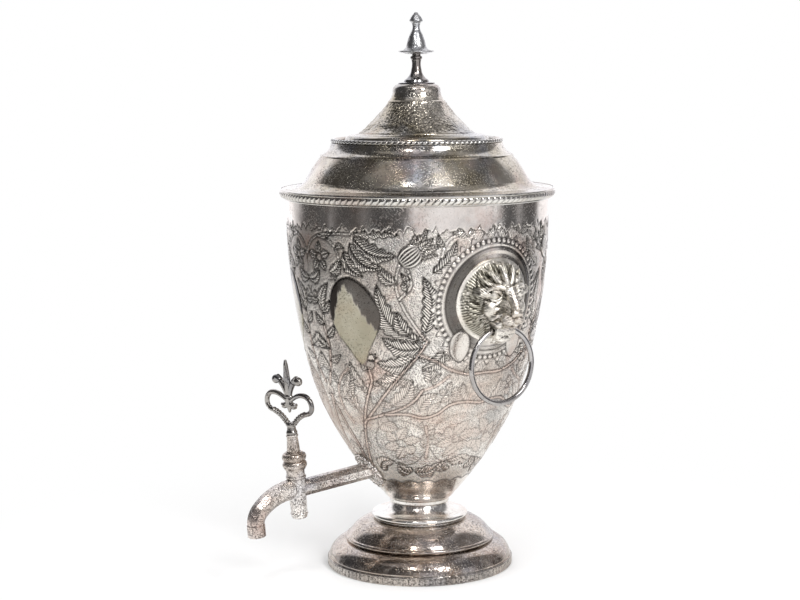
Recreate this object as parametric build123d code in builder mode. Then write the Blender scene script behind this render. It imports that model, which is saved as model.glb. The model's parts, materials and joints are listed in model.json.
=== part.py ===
from build123d import *
from math import cos, radians, sin
import os

os.makedirs("parts", exist_ok=True)

# Samovar: a plated hot-water urn on a spun foot, with a lift-off lid, a key tap
# and two lion masks that carry ring handles.
# +Z is up and the origin is on the table, under the urn's axis. The tap points
# along -Y and the masks look out along +X and -X. Sizes are millimetres.

# Spun walls
bowl_wall = 1.5
foot_wall = 1.4
lid_wall = 1.2

# Foot and waist
foot_radius = 75.8
foot_band_height = 7.5
foot_band_width = 3.2
foot_step_radius = 59.4
foot_step_height = 20.6
foot_top_radius = 38.0
foot_top = 38.5
collar_radius = foot_top_radius + 1.4
waist_height = 16.5
waist_radius = 23.6

# Bowl
bowl_base = foot_top + waist_height
bowl_base_radius = waist_radius + 1.0
mouth_radius = 105.9
bowl_height = 254.2
ledge_height = bowl_base + bowl_height
flank_top = ledge_height - 13.2

# Rim border
rim_radius = 111.5
rim_top = ledge_height + 1.4
rim_bottom = ledge_height - 7.2
rim_teeth = 132
lid_teeth = 96
tooth_slant = 38.0
tooth_cut = 2.0

# Lid
lid_gap = 0.3
brim_radius = 109.3
bezel_radius = 103.6
bezel_depth = 9.0
tier_foot_radius = 90.4
tier_foot = ledge_height + 7.4
tier_top_radius = 77.8
tier_top = tier_foot + 19.1
cove_top_radius = 69.3
cove_top = tier_top + 10.9
lid_rope_radius = 67.6
crown_seat = cove_top + lid_wall
crown_shoulder_radius = 19.4
crown_height = 45.4
crown_top = crown_seat + crown_height

# Finial
stem_length = 23.6
bell_length = 22.2
bud_length = 11.0
stem_top = crown_top + stem_length
bell_top = stem_top + bell_length
finial_tip = bell_top + bud_length

# Fasteners
bolt_radius = 3.0
stud_radius = 2.0
thread_gap = 0.05
bolt_thread = bolt_radius + thread_gap
stud_thread = stud_radius + thread_gap
bolt_hole = bolt_radius + 0.4
small_nut_across = 7.0
small_nut_thick = 3.2
small_washer_thick = 1.0
saddle_depth = 3.0

# Tap, which leans outward with its pipe
tap_lean = 5.0
tap_reach = 117.5
tap_height = 77.7
pipe_flats = 12.6
pipe_bore = 3.5
barrel_top = 16.5
barrel_foot = -18.6
plug_top_radius = 5.2
plug_foot_radius = 4.3
plug_gap = 0.06
port_radius = 2.8
spout_flats = 13.8
spout_bore = 3.8
outlet_radius = 7.2
outlet_length = 9.4
spigot_radius = pipe_bore + 1.2
packing_radius = 7.0
key_turn = 12.0
heart_half_width = 27.5
heart_wire = 2.2

# Lion masks and ring handles
mask_height = 229.0
mask_slope = 9.0
mask_radius = 33.0
mask_plate = 1.8
jaw_half_width = 10.5
jaw_wall = 2.6
ring_radius = 29.0
ring_wire = 2.1
jaw_reach = 9.6
jaw_drop = 22.0
ring_sag = 1.0
tunnel_radius = 3.8


# Turned pieces are drawn on one half plane: x is the radius and y the height.
# It stands between the tap and a mask, on the far side of the urn.
turning_angle = radians(55)
turning_plane = Plane(
    origin=(0, 0, 0),
    x_dir=(cos(turning_angle), sin(turning_angle), 0),
    z_dir=(sin(turning_angle), -cos(turning_angle), 0),
)


def save(sub_part, name):
    sub_part.part.label = name
    export_step(sub_part.part, f"parts/{name}.step")


# Outer line of the bowl, from its flat base up to the upright wall at the mouth
flank_rise = 1.05
flank_height = flank_top - bowl_base
flank = Spline(
    (bowl_base_radius, bowl_base),
    (0.373 * mouth_radius, bowl_base + 0.072 * flank_height),
    (0.523 * mouth_radius, bowl_base + 0.162 * flank_height),
    (0.684 * mouth_radius, bowl_base + 0.280 * flank_height),
    (0.805 * mouth_radius, bowl_base + 0.407 * flank_height),
    (0.889 * mouth_radius, bowl_base + 0.548 * flank_height),
    (0.949 * mouth_radius, bowl_base + 0.687 * flank_height),
    (0.985 * mouth_radius, bowl_base + 0.822 * flank_height),
    (mouth_radius, flank_top),
    tangents=((1, flank_rise), (0, 1)),
)
flank_steps = 12


# Radius of the bowl's outside at a height, closed in on by halves
def wall_radius(height):
    low, high = 0.0, 1.0
    for _ in range(24):
        middle = (low + high) / 2
        if (flank @ middle).Y < height:
            low = middle
        else:
            high = middle
    return (flank @ low).X


# The same bowl grown outward, or shrunk by a negative growth, as one solid
def bowl_solid(growth):
    beside = []
    for step in range(flank_steps + 1):
        along = flank % (step / flank_steps)
        outward = Vector(along.Y, -along.X)
        beside.append(flank @ (step / flank_steps) + outward * growth)
    floor_shift = bowl_base - growth - beside[0].Y
    beside[0] += Vector(floor_shift / flank_rise, floor_shift)
    with BuildPart() as bowl:
        with BuildSketch(turning_plane):
            with BuildLine():
                wall = Spline(*beside, tangents=((1, flank_rise), (0, 1)))
                Polyline(
                    wall @ 1,
                    (mouth_radius + growth, ledge_height),
                    (0, ledge_height),
                    (0, bowl_base - growth),
                    wall @ 0,
                )
            make_face()
        revolve(axis=Axis.Z)
    return bowl


# Foot: a relief band with a two-stage dome spun over it
with BuildPart() as foot_band:
    with BuildSketch(turning_plane):
        with BuildLine():
            Polyline(
                (foot_radius - foot_band_width, foot_band_height),
                (foot_radius - foot_band_width, 0),
                (foot_radius - 0.5, 0),
                (foot_radius, 0.5),
                (foot_radius, foot_band_height - 0.9),
                (foot_radius - 0.4, foot_band_height),
                close=True,
            )
        make_face()
    revolve(axis=Axis.Z)
save(foot_band, "foot_band")

with BuildPart() as foot_shell:
    with BuildSketch(turning_plane):
        with BuildLine():
            edge_radius = foot_radius - 1.0
            Line((edge_radius, foot_band_height), (edge_radius, foot_band_height + 1.0))
            ThreePointArc(
                (edge_radius, foot_band_height + 1.0),
                (edge_radius - 3.8, foot_step_height - 5.0),
                (foot_step_radius, foot_step_height),
            )
            ThreePointArc(
                (foot_step_radius, foot_step_height),
                (foot_step_radius + 1.6, foot_step_height + 2.2),
                (foot_step_radius - 0.4, foot_step_height + 4.2),
            )
            ThreePointArc(
                (foot_step_radius - 0.4, foot_step_height + 4.2),
                (foot_step_radius - 6.6, foot_top - 6.3),
                (foot_top_radius, foot_top),
            )
            Line((foot_top_radius, foot_top), (bolt_hole, foot_top))
            offset(amount=foot_wall, side=Side.LEFT)
        make_face()
    revolve(axis=Axis.Z)
save(foot_shell, "foot_shell")

# Waist: a collar disc and a drawn-in neck that the bowl sits on
with BuildPart() as stem:
    with BuildSketch(turning_plane):
        with BuildLine():
            Line((foot_top_radius - 1.0, foot_top), (foot_top_radius - 1.0, foot_top + 0.8))
            ThreePointArc(
                (foot_top_radius - 1.0, foot_top + 0.8),
                (collar_radius, foot_top + 2.9),
                (foot_top_radius - 1.2, foot_top + 5.2),
            )
            ThreePointArc(
                (foot_top_radius - 1.2, foot_top + 5.2),
                (waist_radius + 3.3, bowl_base - 8.5),
                (waist_radius, bowl_base - 3.6),
            )
            lip_radius = waist_radius + 0.9
            neck_ceiling = bowl_base - 3.0
            Line((waist_radius, bowl_base - 3.6), (lip_radius, bowl_base - 2.2))
            Line((lip_radius, bowl_base - 2.2), (lip_radius, bowl_base))
            Line((lip_radius, bowl_base), (bolt_hole, bowl_base))
            Line((bolt_hole, bowl_base), (bolt_hole, neck_ceiling))
            Line((bolt_hole, neck_ceiling), (waist_radius - 4.0, neck_ceiling))
            ThreePointArc(
                (waist_radius - 4.0, neck_ceiling),
                (waist_radius - 1.0, bowl_base - 10.0),
                (foot_top_radius - 8.0, foot_top),
            )
            Line((foot_top_radius - 8.0, foot_top), (foot_top_radius - 1.0, foot_top))
        make_face()
    revolve(axis=Axis.Z)
save(stem, "stem")

bowl_form = bowl_solid(0)
bowl_space = bowl_solid(-bowl_wall)
plate_form = bowl_solid(mask_plate)

# Planes of the mask and of the tap
lean = radians(tap_lean)
slope = radians(mask_slope)
mask_wall_radius = wall_radius(mask_height) + 0.1
ring_axis_reach = mask_wall_radius + jaw_reach
ring_axis_height = mask_height - jaw_drop
mask_plane, mask_plane_left = [
    Plane(
        origin=(side * mask_wall_radius, 0, mask_height),
        x_dir=(0, side, 0),
        z_dir=(side * cos(slope), 0, -sin(slope)),
    )
    for side in (1, -1)
]
tap_plane = Plane(
    origin=(0, -tap_reach, tap_height),
    x_dir=(1, 0, 0),
    z_dir=(0, -sin(lean), cos(lean)),
)
# Across the pipe, looking inward and up along it; x stays across, y follows the plug
pipe_plane = Plane(
    origin=tap_plane.origin,
    x_dir=tap_plane.x_dir,
    z_dir=tap_plane.y_dir,
)
# The plane that halves the tap: x runs outward along the spout, y up the plug
spout_plane = Plane(
    origin=tap_plane.origin,
    x_dir=-tap_plane.y_dir,
    z_dir=-tap_plane.x_dir,
)
# The key's own plane, turned with the plug
key_plane = tap_plane.rotated((0, 0, key_turn))
wing_plane = Plane(
    origin=key_plane.origin,
    x_dir=key_plane.x_dir,
    z_dir=-key_plane.y_dir,
)

# Bowl: one spun wall with a flat base and holes for the bolt, the pipe and the mask studs
with BuildPart() as body_shell:
    add(bowl_form)
    add(bowl_space, mode=Mode.SUBTRACT)
    with BuildSketch(Plane.XY.offset(bowl_base)):
        Circle(bolt_hole)
    extrude(amount=bowl_wall, mode=Mode.SUBTRACT)
    with BuildSketch(pipe_plane.offset(40)):
        Circle(spigot_radius)
    extrude(amount=50, mode=Mode.SUBTRACT)
    for plane in (mask_plane, mask_plane_left):
        with BuildSketch(plane.offset(-8)):
            Circle(stud_radius + 0.2)
        extrude(amount=16, mode=Mode.SUBTRACT)
save(body_shell, "body_shell")

# Bolt up through the foot, with a sealing washer in the bowl and a nut under the foot
floor = bowl_base + bowl_wall
ceiling = foot_top - foot_wall
gasket_thick = 1.0
washer_thick = 1.2
nut_thick = 4.5

with BuildPart() as stem_gasket:
    with BuildSketch(Plane.XY.offset(floor)):
        Circle(9.5)
        Circle(bolt_thread, mode=Mode.SUBTRACT)
    extrude(amount=gasket_thick)
save(stem_gasket, "stem_gasket")

with BuildPart() as stem_bolt:
    with BuildSketch(turning_plane):
        with BuildLine():
            head = floor + gasket_thick
            shank_end = ceiling - washer_thick - nut_thick - 2.5
            Line((0, shank_end), (bolt_radius - 0.6, shank_end))
            Line((bolt_radius - 0.6, shank_end), (bolt_radius, shank_end + 0.6))
            Line((bolt_radius, shank_end + 0.6), (bolt_radius, head))
            Line((bolt_radius, head), (8.0, head))
            Line((8.0, head), (8.0, head + 1.0))
            ThreePointArc((8.0, head + 1.0), (5.0, head + 3.4), (0, head + 4.4))
            Line((0, head + 4.4), (0, shank_end))
        make_face()
    revolve(axis=Axis.Z)
    with BuildSketch(Plane.XY.offset(head + 3.2)):
        Rectangle(18, 1.6)
    extrude(amount=3, mode=Mode.SUBTRACT)
save(stem_bolt, "stem_bolt")

with BuildPart() as stem_washer:
    with BuildSketch(Plane.XY.offset(ceiling - washer_thick)):
        Circle(11.0)
        Circle(bolt_thread, mode=Mode.SUBTRACT)
    extrude(amount=washer_thick)
save(stem_washer, "stem_washer")


def hex_nut(plane, across_flats, hole_radius, thickness):
    with BuildPart() as nut:
        with BuildSketch(plane):
            RegularPolygon(across_flats / 2, 6, major_radius=False)
            Circle(hole_radius, mode=Mode.SUBTRACT)
        extrude(amount=thickness)
        with BuildSketch(plane):
            Circle(across_flats / 2 * 1.06)
        extrude(amount=thickness, mode=Mode.INTERSECT)
    return nut


stem_nut = hex_nut(Plane.XY.offset(ceiling - washer_thick - nut_thick), 11.0, bolt_thread, nut_thick)
save(stem_nut, "stem_nut")

# Rim: two fillets with a leaning seat between them, and a roped border on the seat
seat_foot = (rim_radius - 4.1, rim_bottom + 1.3)
seat_head = (rim_radius - 1.0, rim_top - 1.6)
with BuildPart() as rim_band:
    with BuildSketch(turning_plane):
        with BuildLine():
            Polyline(
                (mouth_radius, rim_bottom),
                (mouth_radius + 1.8, rim_bottom),
                (mouth_radius + 2.4, rim_bottom + 0.6),
                (mouth_radius + 2.3, rim_bottom + 1.3),
                seat_foot,
                seat_head,
                (rim_radius - 0.2, seat_head[1]),
                (rim_radius, seat_head[1] + 0.4),
                (rim_radius, rim_top - 0.5),
                (rim_radius - 0.5, rim_top),
                (brim_radius + lid_gap, rim_top),
                (brim_radius + lid_gap, ledge_height),
                (mouth_radius, ledge_height),
                close=True,
            )
        make_face()
    revolve(axis=Axis.Z)
save(rim_band, "rim_band")

with BuildPart() as rim_rope:
    with BuildSketch(turning_plane):
        with BuildLine():
            Polyline(
                seat_foot,
                (seat_foot[0] + 1.6, seat_foot[1] + 0.4),
                (seat_foot[0] + 3.2, seat_foot[1] + 2.6),
                (seat_head[0] + 0.9, seat_head[1] - 1.0),
                seat_head,
                close=True,
            )
        make_face()
    revolve(axis=Axis.Z)
    with Locations((0, 0, (seat_foot[1] + seat_head[1]) / 2)):
        with PolarLocations(seat_head[0] + 1.4, rim_teeth):
            Box(tooth_cut, tooth_cut, 12, rotation=(tooth_slant, 0, 45), mode=Mode.SUBTRACT)
save(rim_rope, "rim_rope")

# Lid: a stepped shell, a collar that centres it in the mouth, a roped border and a crown
with BuildPart() as lid_dome:
    with BuildSketch(turning_plane):
        with BuildLine():
            brim_edge = (brim_radius, ledge_height + lid_wall)
            Line((brim_radius, ledge_height), brim_edge)
            brim_end = (tier_foot_radius + 11.6, ledge_height + lid_wall + 0.6)
            Line(brim_edge, brim_end)
            ThreePointArc(
                brim_end,
                (tier_foot_radius + 4.4, tier_foot - 4.0),
                (tier_foot_radius, tier_foot),
            )
            ThreePointArc(
                (tier_foot_radius, tier_foot),
                (tier_top_radius + 7.2, tier_top - 9.8),
                (tier_top_radius, tier_top),
            )
            Line((tier_top_radius, tier_top), (tier_top_radius, tier_top + 1.2))
            ThreePointArc(
                (tier_top_radius, tier_top + 1.2),
                (cove_top_radius + 2.3, cove_top - 5.8),
                (cove_top_radius, cove_top),
            )
            Line((cove_top_radius, cove_top), (cove_top_radius - 4.8, cove_top))
            offset(amount=lid_wall, side=Side.LEFT)
        make_face()
    revolve(axis=Axis.Z)
save(lid_dome, "lid_dome")

with BuildPart() as lid_bezel:
    with BuildSketch(turning_plane):
        with BuildLine():
            Polyline(
                (bezel_radius, ledge_height),
                (bezel_radius - 1.4, ledge_height),
                (bezel_radius - 1.4, ledge_height - bezel_depth),
                (bezel_radius - 0.5, ledge_height - bezel_depth),
                (bezel_radius, ledge_height - bezel_depth + 1.2),
                close=True,
            )
        make_face()
    revolve(axis=Axis.Z)
save(lid_bezel, "lid_bezel")

with BuildPart() as lid_rope:
    with BuildSketch(turning_plane):
        with BuildLine():
            Polyline(
                (lid_rope_radius - 1.6, cove_top),
                (lid_rope_radius + 1.4, cove_top),
                (lid_rope_radius + 1.9, cove_top + 1.7),
                (lid_rope_radius + 1.0, cove_top + 3.3),
                (lid_rope_radius - 0.6, cove_top + 3.5),
                (lid_rope_radius - 1.6, cove_top + 2.4),
                close=True,
            )
        make_face()
    revolve(axis=Axis.Z)
    with Locations((0, 0, cove_top + 2.2)):
        with PolarLocations(lid_rope_radius + 2.3, lid_teeth):
            Box(1.6, 1.6, 9, rotation=(tooth_slant, 0, 45), mode=Mode.SUBTRACT)
save(lid_rope, "lid_rope")

with BuildPart() as lid_crown:
    with BuildSketch(turning_plane):
        with BuildLine():
            step_radius = lid_rope_radius - 9.6
            flare_foot = (step_radius - 4.6, crown_seat + 4.8)
            flare_bend = (step_radius - 19.6, crown_seat + 13.0)
            flare_head = (crown_shoulder_radius + 1.0, crown_top - 10.2)
            shoulder_foot = (crown_shoulder_radius, crown_top - 6.7)
            shoulder_head = (crown_shoulder_radius - 4.9, crown_top)
            Line((lid_rope_radius - 1.7, crown_seat), (step_radius, crown_seat))
            ThreePointArc((step_radius, crown_seat), (step_radius - 1.0, crown_seat + 3.5), flare_foot)
            ThreePointArc(flare_foot, (step_radius - 12.6, crown_seat + 7.1), flare_bend)
            ThreePointArc(flare_bend, (crown_shoulder_radius + 8.0, crown_top - 20.6), flare_head)
            Line(flare_head, shoulder_foot)
            ThreePointArc(
                shoulder_foot,
                (crown_shoulder_radius - 1.2, crown_top - 2.0),
                shoulder_head,
            )
            Line(shoulder_head, (stud_radius + 0.3, crown_top))
            offset(amount=lid_wall, side=Side.LEFT)
        make_face()
    revolve(axis=Axis.Z)
save(lid_crown, "lid_crown")

# Finial: a turned stem, a bell and a bud strung on one stud through the crown
with BuildPart() as finial_base:
    with BuildSketch(turning_plane):
        with BuildLine():
            Line((stud_thread, crown_top), (14.8, crown_top))
            Line((14.8, crown_top), (14.8, crown_top + 0.8))
            Line((14.8, crown_top + 0.8), (10.2, crown_top + 1.6))
            Line((10.2, crown_top + 1.6), (9.6, crown_top + 3.2))
            ThreePointArc(
                (9.6, crown_top + 3.2), (5.9, crown_top + 6.6), (4.2, crown_top + 11.6)
            )
            ThreePointArc(
                (4.2, crown_top + 11.6), (3.6, stem_top - 8.3), (4.0, stem_top - 4.4)
            )
            Line((4.0, stem_top - 4.4), (4.8, stem_top - 3.4))
            Line((4.8, stem_top - 3.4), (4.8, stem_top - 2.0))
            Line((4.8, stem_top - 2.0), (3.5, stem_top - 1.2))
            Line((3.5, stem_top - 1.2), (3.5, stem_top))
            Line((3.5, stem_top), (stud_thread, stem_top))
            Line((stud_thread, stem_top), (stud_thread, crown_top))
        make_face()
    revolve(axis=Axis.Z)
save(finial_base, "finial_base")

with BuildPart() as finial_bell:
    with BuildSketch(turning_plane):
        with BuildLine():
            Line((stud_thread, stem_top), (7.2, stem_top))
            Line((7.2, stem_top), (14.2, stem_top + 1.8))
            Line((14.2, stem_top + 1.8), (14.2, stem_top + 2.6))
            ThreePointArc(
                (14.2, stem_top + 2.6), (9.8, stem_top + 3.7), (7.9, stem_top + 6.4)
            )
            ThreePointArc(
                (7.9, stem_top + 6.4), (6.3, stem_top + 12.6), (4.0, bell_top - 4.2)
            )
            ThreePointArc((4.0, bell_top - 4.2), (3.2, bell_top - 2.4), (2.9, bell_top))
            Line((2.9, bell_top), (stud_thread, bell_top))
            Line((stud_thread, bell_top), (stud_thread, stem_top))
        make_face()
    revolve(axis=Axis.Z)
save(finial_bell, "finial_bell")

stud_top = finial_tip - 5.0
with BuildPart() as finial_bud:
    with BuildSketch(turning_plane):
        with BuildLine():
            Line((stud_thread, bell_top), (2.9, bell_top))
            Line((2.9, bell_top), (3.5, bell_top + 2.4))
            Line((3.5, bell_top + 2.4), (5.4, bell_top + 4.0))
            Line((5.4, bell_top + 4.0), (5.3, finial_tip - 6.0))
            ThreePointArc(
                (5.3, finial_tip - 6.0), (3.9, finial_tip - 3.6), (1.9, finial_tip - 1.1)
            )
            Line((1.9, finial_tip - 1.1), (1.2, finial_tip - 0.2))
            Line((1.2, finial_tip - 0.2), (0, finial_tip))
            Line((0, finial_tip), (0, stud_top))
            Line((0, stud_top), (stud_thread, stud_top))
            Line((stud_thread, stud_top), (stud_thread, bell_top))
        make_face()
    revolve(axis=Axis.Z)
save(finial_bud, "finial_bud")

crown_ceiling = crown_top - lid_wall
with BuildPart() as finial_stud:
    with BuildSketch(Plane.XY.offset(crown_ceiling - 7.0)):
        Circle(stud_radius)
    extrude(amount=stud_top - crown_ceiling + 7.0)
    chamfer(finial_stud.faces().sort_by(Axis.Z)[0].edges(), length=0.4)
save(finial_stud, "finial_stud")

with BuildPart() as finial_washer:
    with BuildSketch(Plane.XY.offset(crown_ceiling - small_washer_thick)):
        Circle(small_nut_across)
        Circle(stud_thread, mode=Mode.SUBTRACT)
    extrude(amount=small_washer_thick)
save(finial_washer, "finial_washer")

finial_nut = hex_nut(
    Plane.XY.offset(crown_ceiling - small_washer_thick - small_nut_thick),
    small_nut_across,
    stud_thread,
    small_nut_thick,
)
save(finial_nut, "finial_nut")

# Lion head, modelled on the mask plane: a low maned dome, a face, a muzzle and a jaw
hinge_out = jaw_reach * cos(slope) + jaw_drop * sin(slope)
hinge_up = jaw_reach * sin(slope) - jaw_drop * cos(slope)
mane_locks = 28
mane_radius = mask_radius - 1.2
head_side = Plane(mask_plane.origin, x_dir=mask_plane.z_dir, z_dir=-mask_plane.x_dir)

with BuildPart(mask_plane) as lion_head:
    # Mane, combed by grooves that fan out from the face
    with BuildSketch(head_side):
        with BuildLine():
            Polyline(
                (10.0, 0),
                (-14.0, 0),
                (-14.0, mane_radius),
                (-1.2, mane_radius),
                (3.2, mane_radius - 5.0),
                (6.8, mane_radius - 11.0),
                (10.0, mane_radius - 20.0),
                close=True,
            )
        make_face()
    revolve(axis=Axis(mask_plane.origin, mask_plane.z_dir))
    with PolarLocations(25.0, mane_locks):
        Box(20.0, 1.7, 1.7, rotation=(45, 21, 0), mode=Mode.SUBTRACT)
    # Face, from the cheeks forward to the brow
    for height_out, across, tall, drop in (
        (2.0, 17.0, 19.0, 0.0), (11.0, 14.0, 15.5, 0.0), (16.5, 7.5, 9.0, 2.0)
    ):
        with BuildSketch(mask_plane.offset(height_out)):
            with Locations((0, drop)):
                Ellipse(across, tall)
    loft()
    # Muzzle, drawn out to the nose
    for height_out, across, tall, drop in (
        (8.0, 12.5, 9.0, -6.5), (20.0, 8.6, 6.4, -7.0), (27.0, 4.6, 3.2, -6.0)
    ):
        with BuildSketch(mask_plane.offset(height_out)):
            with Locations((0, drop)):
                Ellipse(across, tall)
    loft()
    # Brows, eyes, cheeks and ears, the same on both sides
    for side in (1, -1):
        with Locations((side * 6.6, 6.6, 13.6)):
            Sphere(4.2)
        with Locations((side * 6.4, 2.0, 15.0)):
            Sphere(2.6)
        with Locations((side * 9.6, -5.0, 12.0)):
            Sphere(5.6)
        with Locations((side * 16.5, 14.5, 7.0)):
            Sphere(5.0)
    # Jaw, hanging under the muzzle, with the tunnel that the ring turns in
    jaw_outer = tunnel_radius + jaw_wall
    with BuildSketch(head_side):
        with BuildLine():
            chin = (hinge_out - 1.5, hinge_up - jaw_outer - 3.4)
            lip = (hinge_out + 3.2, hinge_up + jaw_outer - 1.2)
            Line((0.0, -13.0), lip)
            ThreePointArc(lip, (hinge_out + jaw_outer, hinge_up), chin)
            Polyline(chin, (4.0, hinge_up - 8.0), (-3.0, hinge_up - 2.0), (0.0, -13.0))
        make_face()
    extrude(amount=jaw_half_width, both=True)
    with BuildSketch(head_side):
        with Locations((hinge_out, hinge_up)):
            Circle(tunnel_radius)
    extrude(amount=2 * jaw_half_width, both=True, mode=Mode.SUBTRACT)

# Lion masks: the head on a round plate bent to the wall, with a stud through the wall
with BuildPart() as lion_mask_right:
    with BuildSketch(mask_plane.offset(-14)):
        Circle(mask_radius)
    extrude(amount=28)
    add(plate_form, mode=Mode.INTERSECT)
    add(lion_head)
    add(bowl_form, mode=Mode.SUBTRACT)
    with BuildSketch(mask_plane.offset(-8)):
        Circle(stud_radius)
    extrude(amount=12)
save(lion_mask_right, "lion_mask_right")

with BuildPart() as lion_mask_left:
    mirror(lion_mask_right.part, about=Plane.YZ)
save(lion_mask_left, "lion_mask_left")

# Saddle washers that follow the inside of the wall, and the nuts on the studs
for name, plane in (("right", mask_plane), ("left", mask_plane_left)):
    with BuildPart() as mask_washer:
        with BuildSketch(plane.offset(-saddle_depth)):
            Circle(small_nut_across - 1.0)
            Circle(stud_thread, mode=Mode.SUBTRACT)
        extrude(amount=saddle_depth + 1.0)
        add(bowl_space, mode=Mode.INTERSECT)
    save(mask_washer, f"mask_washer_{name}")
    nut_plane = plane.offset(-saddle_depth - small_nut_thick)
    mask_nut = hex_nut(nut_plane, small_nut_across, stud_thread, small_nut_thick)
    save(mask_nut, f"mask_nut_{name}")

# Ring handles, hanging from the jaws
for name, side in (("right", 1), ("left", -1)):
    ring_side = Plane(
        origin=(side * ring_axis_reach, 0, ring_axis_height + ring_sag - ring_radius),
        x_dir=(0, 0, 1),
        z_dir=(0, 1, 0),
    )
    with BuildPart() as ring:
        with BuildSketch(ring_side):
            with Locations((ring_radius, 0)):
                Circle(ring_wire)
        revolve(axis=Axis(ring_side.origin, ring_side.y_dir))
    save(ring, f"ring_{name}")

# Tap: a plate on the bowl round the pipe, notched along its edges
escutcheon_half_height = 21.0
escutcheon_half_width = 14.0
with BuildPart() as tap_escutcheon:
    with BuildSketch(pipe_plane.offset(50)):
        with BuildLine():
            top = (0, escutcheon_half_height * 0.8)
            side = (escutcheon_half_width, 0)
            foot = (0, -escutcheon_half_height * 0.8)
            ThreePointArc(top, (5.6, 6.4), side)
            ThreePointArc(side, (5.6, -6.4), foot)
            ThreePointArc(foot, (-5.6, -6.4), (-escutcheon_half_width, 0))
            ThreePointArc((-escutcheon_half_width, 0), (-5.6, 6.4), top)
        make_face()
        Circle(9.6)
        Circle(spigot_radius + thread_gap, mode=Mode.SUBTRACT)
    extrude(amount=35)
    add(plate_form, mode=Mode.INTERSECT)
    add(bowl_form, mode=Mode.SUBTRACT)
save(tap_escutcheon, "tap_escutcheon")

# Pipe: eight flats outside the plate, a round spigot through the wall, bored right through
boss_end = 9.4
pipe_joint = 6.6
spigot_end = 74.0
with BuildPart() as tap_pipe:
    with BuildSketch(pipe_plane.offset(boss_end)):
        RegularPolygon(pipe_flats / 2, 8, major_radius=False, rotation=22.5)
    extrude(amount=72 - boss_end)
    add(plate_form, mode=Mode.SUBTRACT)
    with BuildSketch(pipe_plane.offset(pipe_joint)):
        Circle(spigot_radius)
    extrude(amount=spigot_end - pipe_joint)
    with BuildSketch(pipe_plane.offset(pipe_joint)):
        Circle(pipe_bore)
    extrude(amount=spigot_end - pipe_joint, mode=Mode.SUBTRACT)
save(tap_pipe, "tap_pipe")

# Tap body: a panelled barrel with a tapered bore, a boss for the pipe and a curved spout
barrel_ring = 10.0
plug_foot = -15.5
plug_head = 13.5
flange_radius = 6.2
flange_gap = 0.3
tap_axis = Axis(tap_plane.origin, tap_plane.z_dir)
with BuildPart() as tap_body:
    # Barrel, with a turned ring and neck above its panels
    with BuildSketch(tap_plane.offset(barrel_foot)):
        RegularPolygon(6.2, 12, major_radius=False)
    with BuildSketch(tap_plane.offset(barrel_ring)):
        RegularPolygon(7.3, 12, major_radius=False)
    loft()
    with BuildSketch(spout_plane):
        with BuildLine():
            Polyline(
                (0, barrel_ring - 1.2),
                (7.3, barrel_ring - 1.2),
                (8.0, barrel_ring - 0.4),
                (8.0, barrel_ring + 0.8),
                (7.3, barrel_ring + 1.6),
                (7.3, barrel_top),
                (0, barrel_top),
                close=True,
            )
        make_face()
    revolve(axis=tap_axis)
    with BuildSketch(pipe_plane.offset(3)):
        Circle(7.0)
    extrude(amount=boss_end - 3)
    # Spout, eight-sided and bending down to a round outlet collar
    with BuildLine(spout_plane) as spout_path:
        Line((5.5, 1.2), (10.2, 0.8))
        upper_bend = JernArc(start=(10.2, 0.8), tangent=(1, -0.085), radius=43, arc_size=-36)
        JernArc(start=upper_bend @ 1, tangent=upper_bend % 1, radius=14.5, arc_size=-49.1)
    spout = spout_path.wires()[0]
    spout_start = Plane(spout @ 0, x_dir=tap_plane.x_dir, z_dir=spout % 0)
    spout_end = Plane(spout @ 1, x_dir=tap_plane.x_dir, z_dir=spout % 1)
    with BuildSketch(spout_start):
        RegularPolygon(spout_flats / 2 + 0.5, 8, major_radius=False, rotation=22.5)
    with BuildSketch(spout_end):
        RegularPolygon(spout_flats / 2 - 0.6, 8, major_radius=False, rotation=22.5)
    sweep(path=spout, multisection=True)
    with BuildSketch(spout_end.offset(-0.6)):
        Circle(outlet_radius)
    extrude(amount=outlet_length)
    chamfer(tap_body.faces().sort_by(Axis.Z)[0].outer_wire().edges(), length=0.5)
    # Bores: the spout's, the pipe's, its spigot's and the plug's
    with BuildSketch(spout_start):
        Circle(spout_bore)
    sweep(path=spout, mode=Mode.SUBTRACT)
    with BuildSketch(spout_end):
        Circle(spout_bore)
    extrude(amount=outlet_length, mode=Mode.SUBTRACT)
    with BuildSketch(pipe_plane):
        Circle(pipe_bore)
    extrude(amount=boss_end, mode=Mode.SUBTRACT)
    with BuildSketch(pipe_plane.offset(pipe_joint)):
        Circle(spigot_radius + thread_gap)
    extrude(amount=boss_end - pipe_joint, mode=Mode.SUBTRACT)
    with BuildSketch(spout_plane):
        with BuildLine():
            taper = (plug_top_radius - plug_foot_radius) / (plug_head - plug_foot)
            bore_foot = plug_foot_radius + plug_gap + taper * (barrel_foot - plug_foot)
            Polyline(
                (0, barrel_foot),
                (bore_foot, barrel_foot),
                (plug_top_radius + plug_gap, plug_head),
                (flange_radius + flange_gap, plug_head),
                (flange_radius + flange_gap, barrel_top),
                (0, barrel_top),
                close=True,
            )
        make_face()
    revolve(axis=tap_axis, mode=Mode.SUBTRACT)
save(tap_body, "tap_body")

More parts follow.
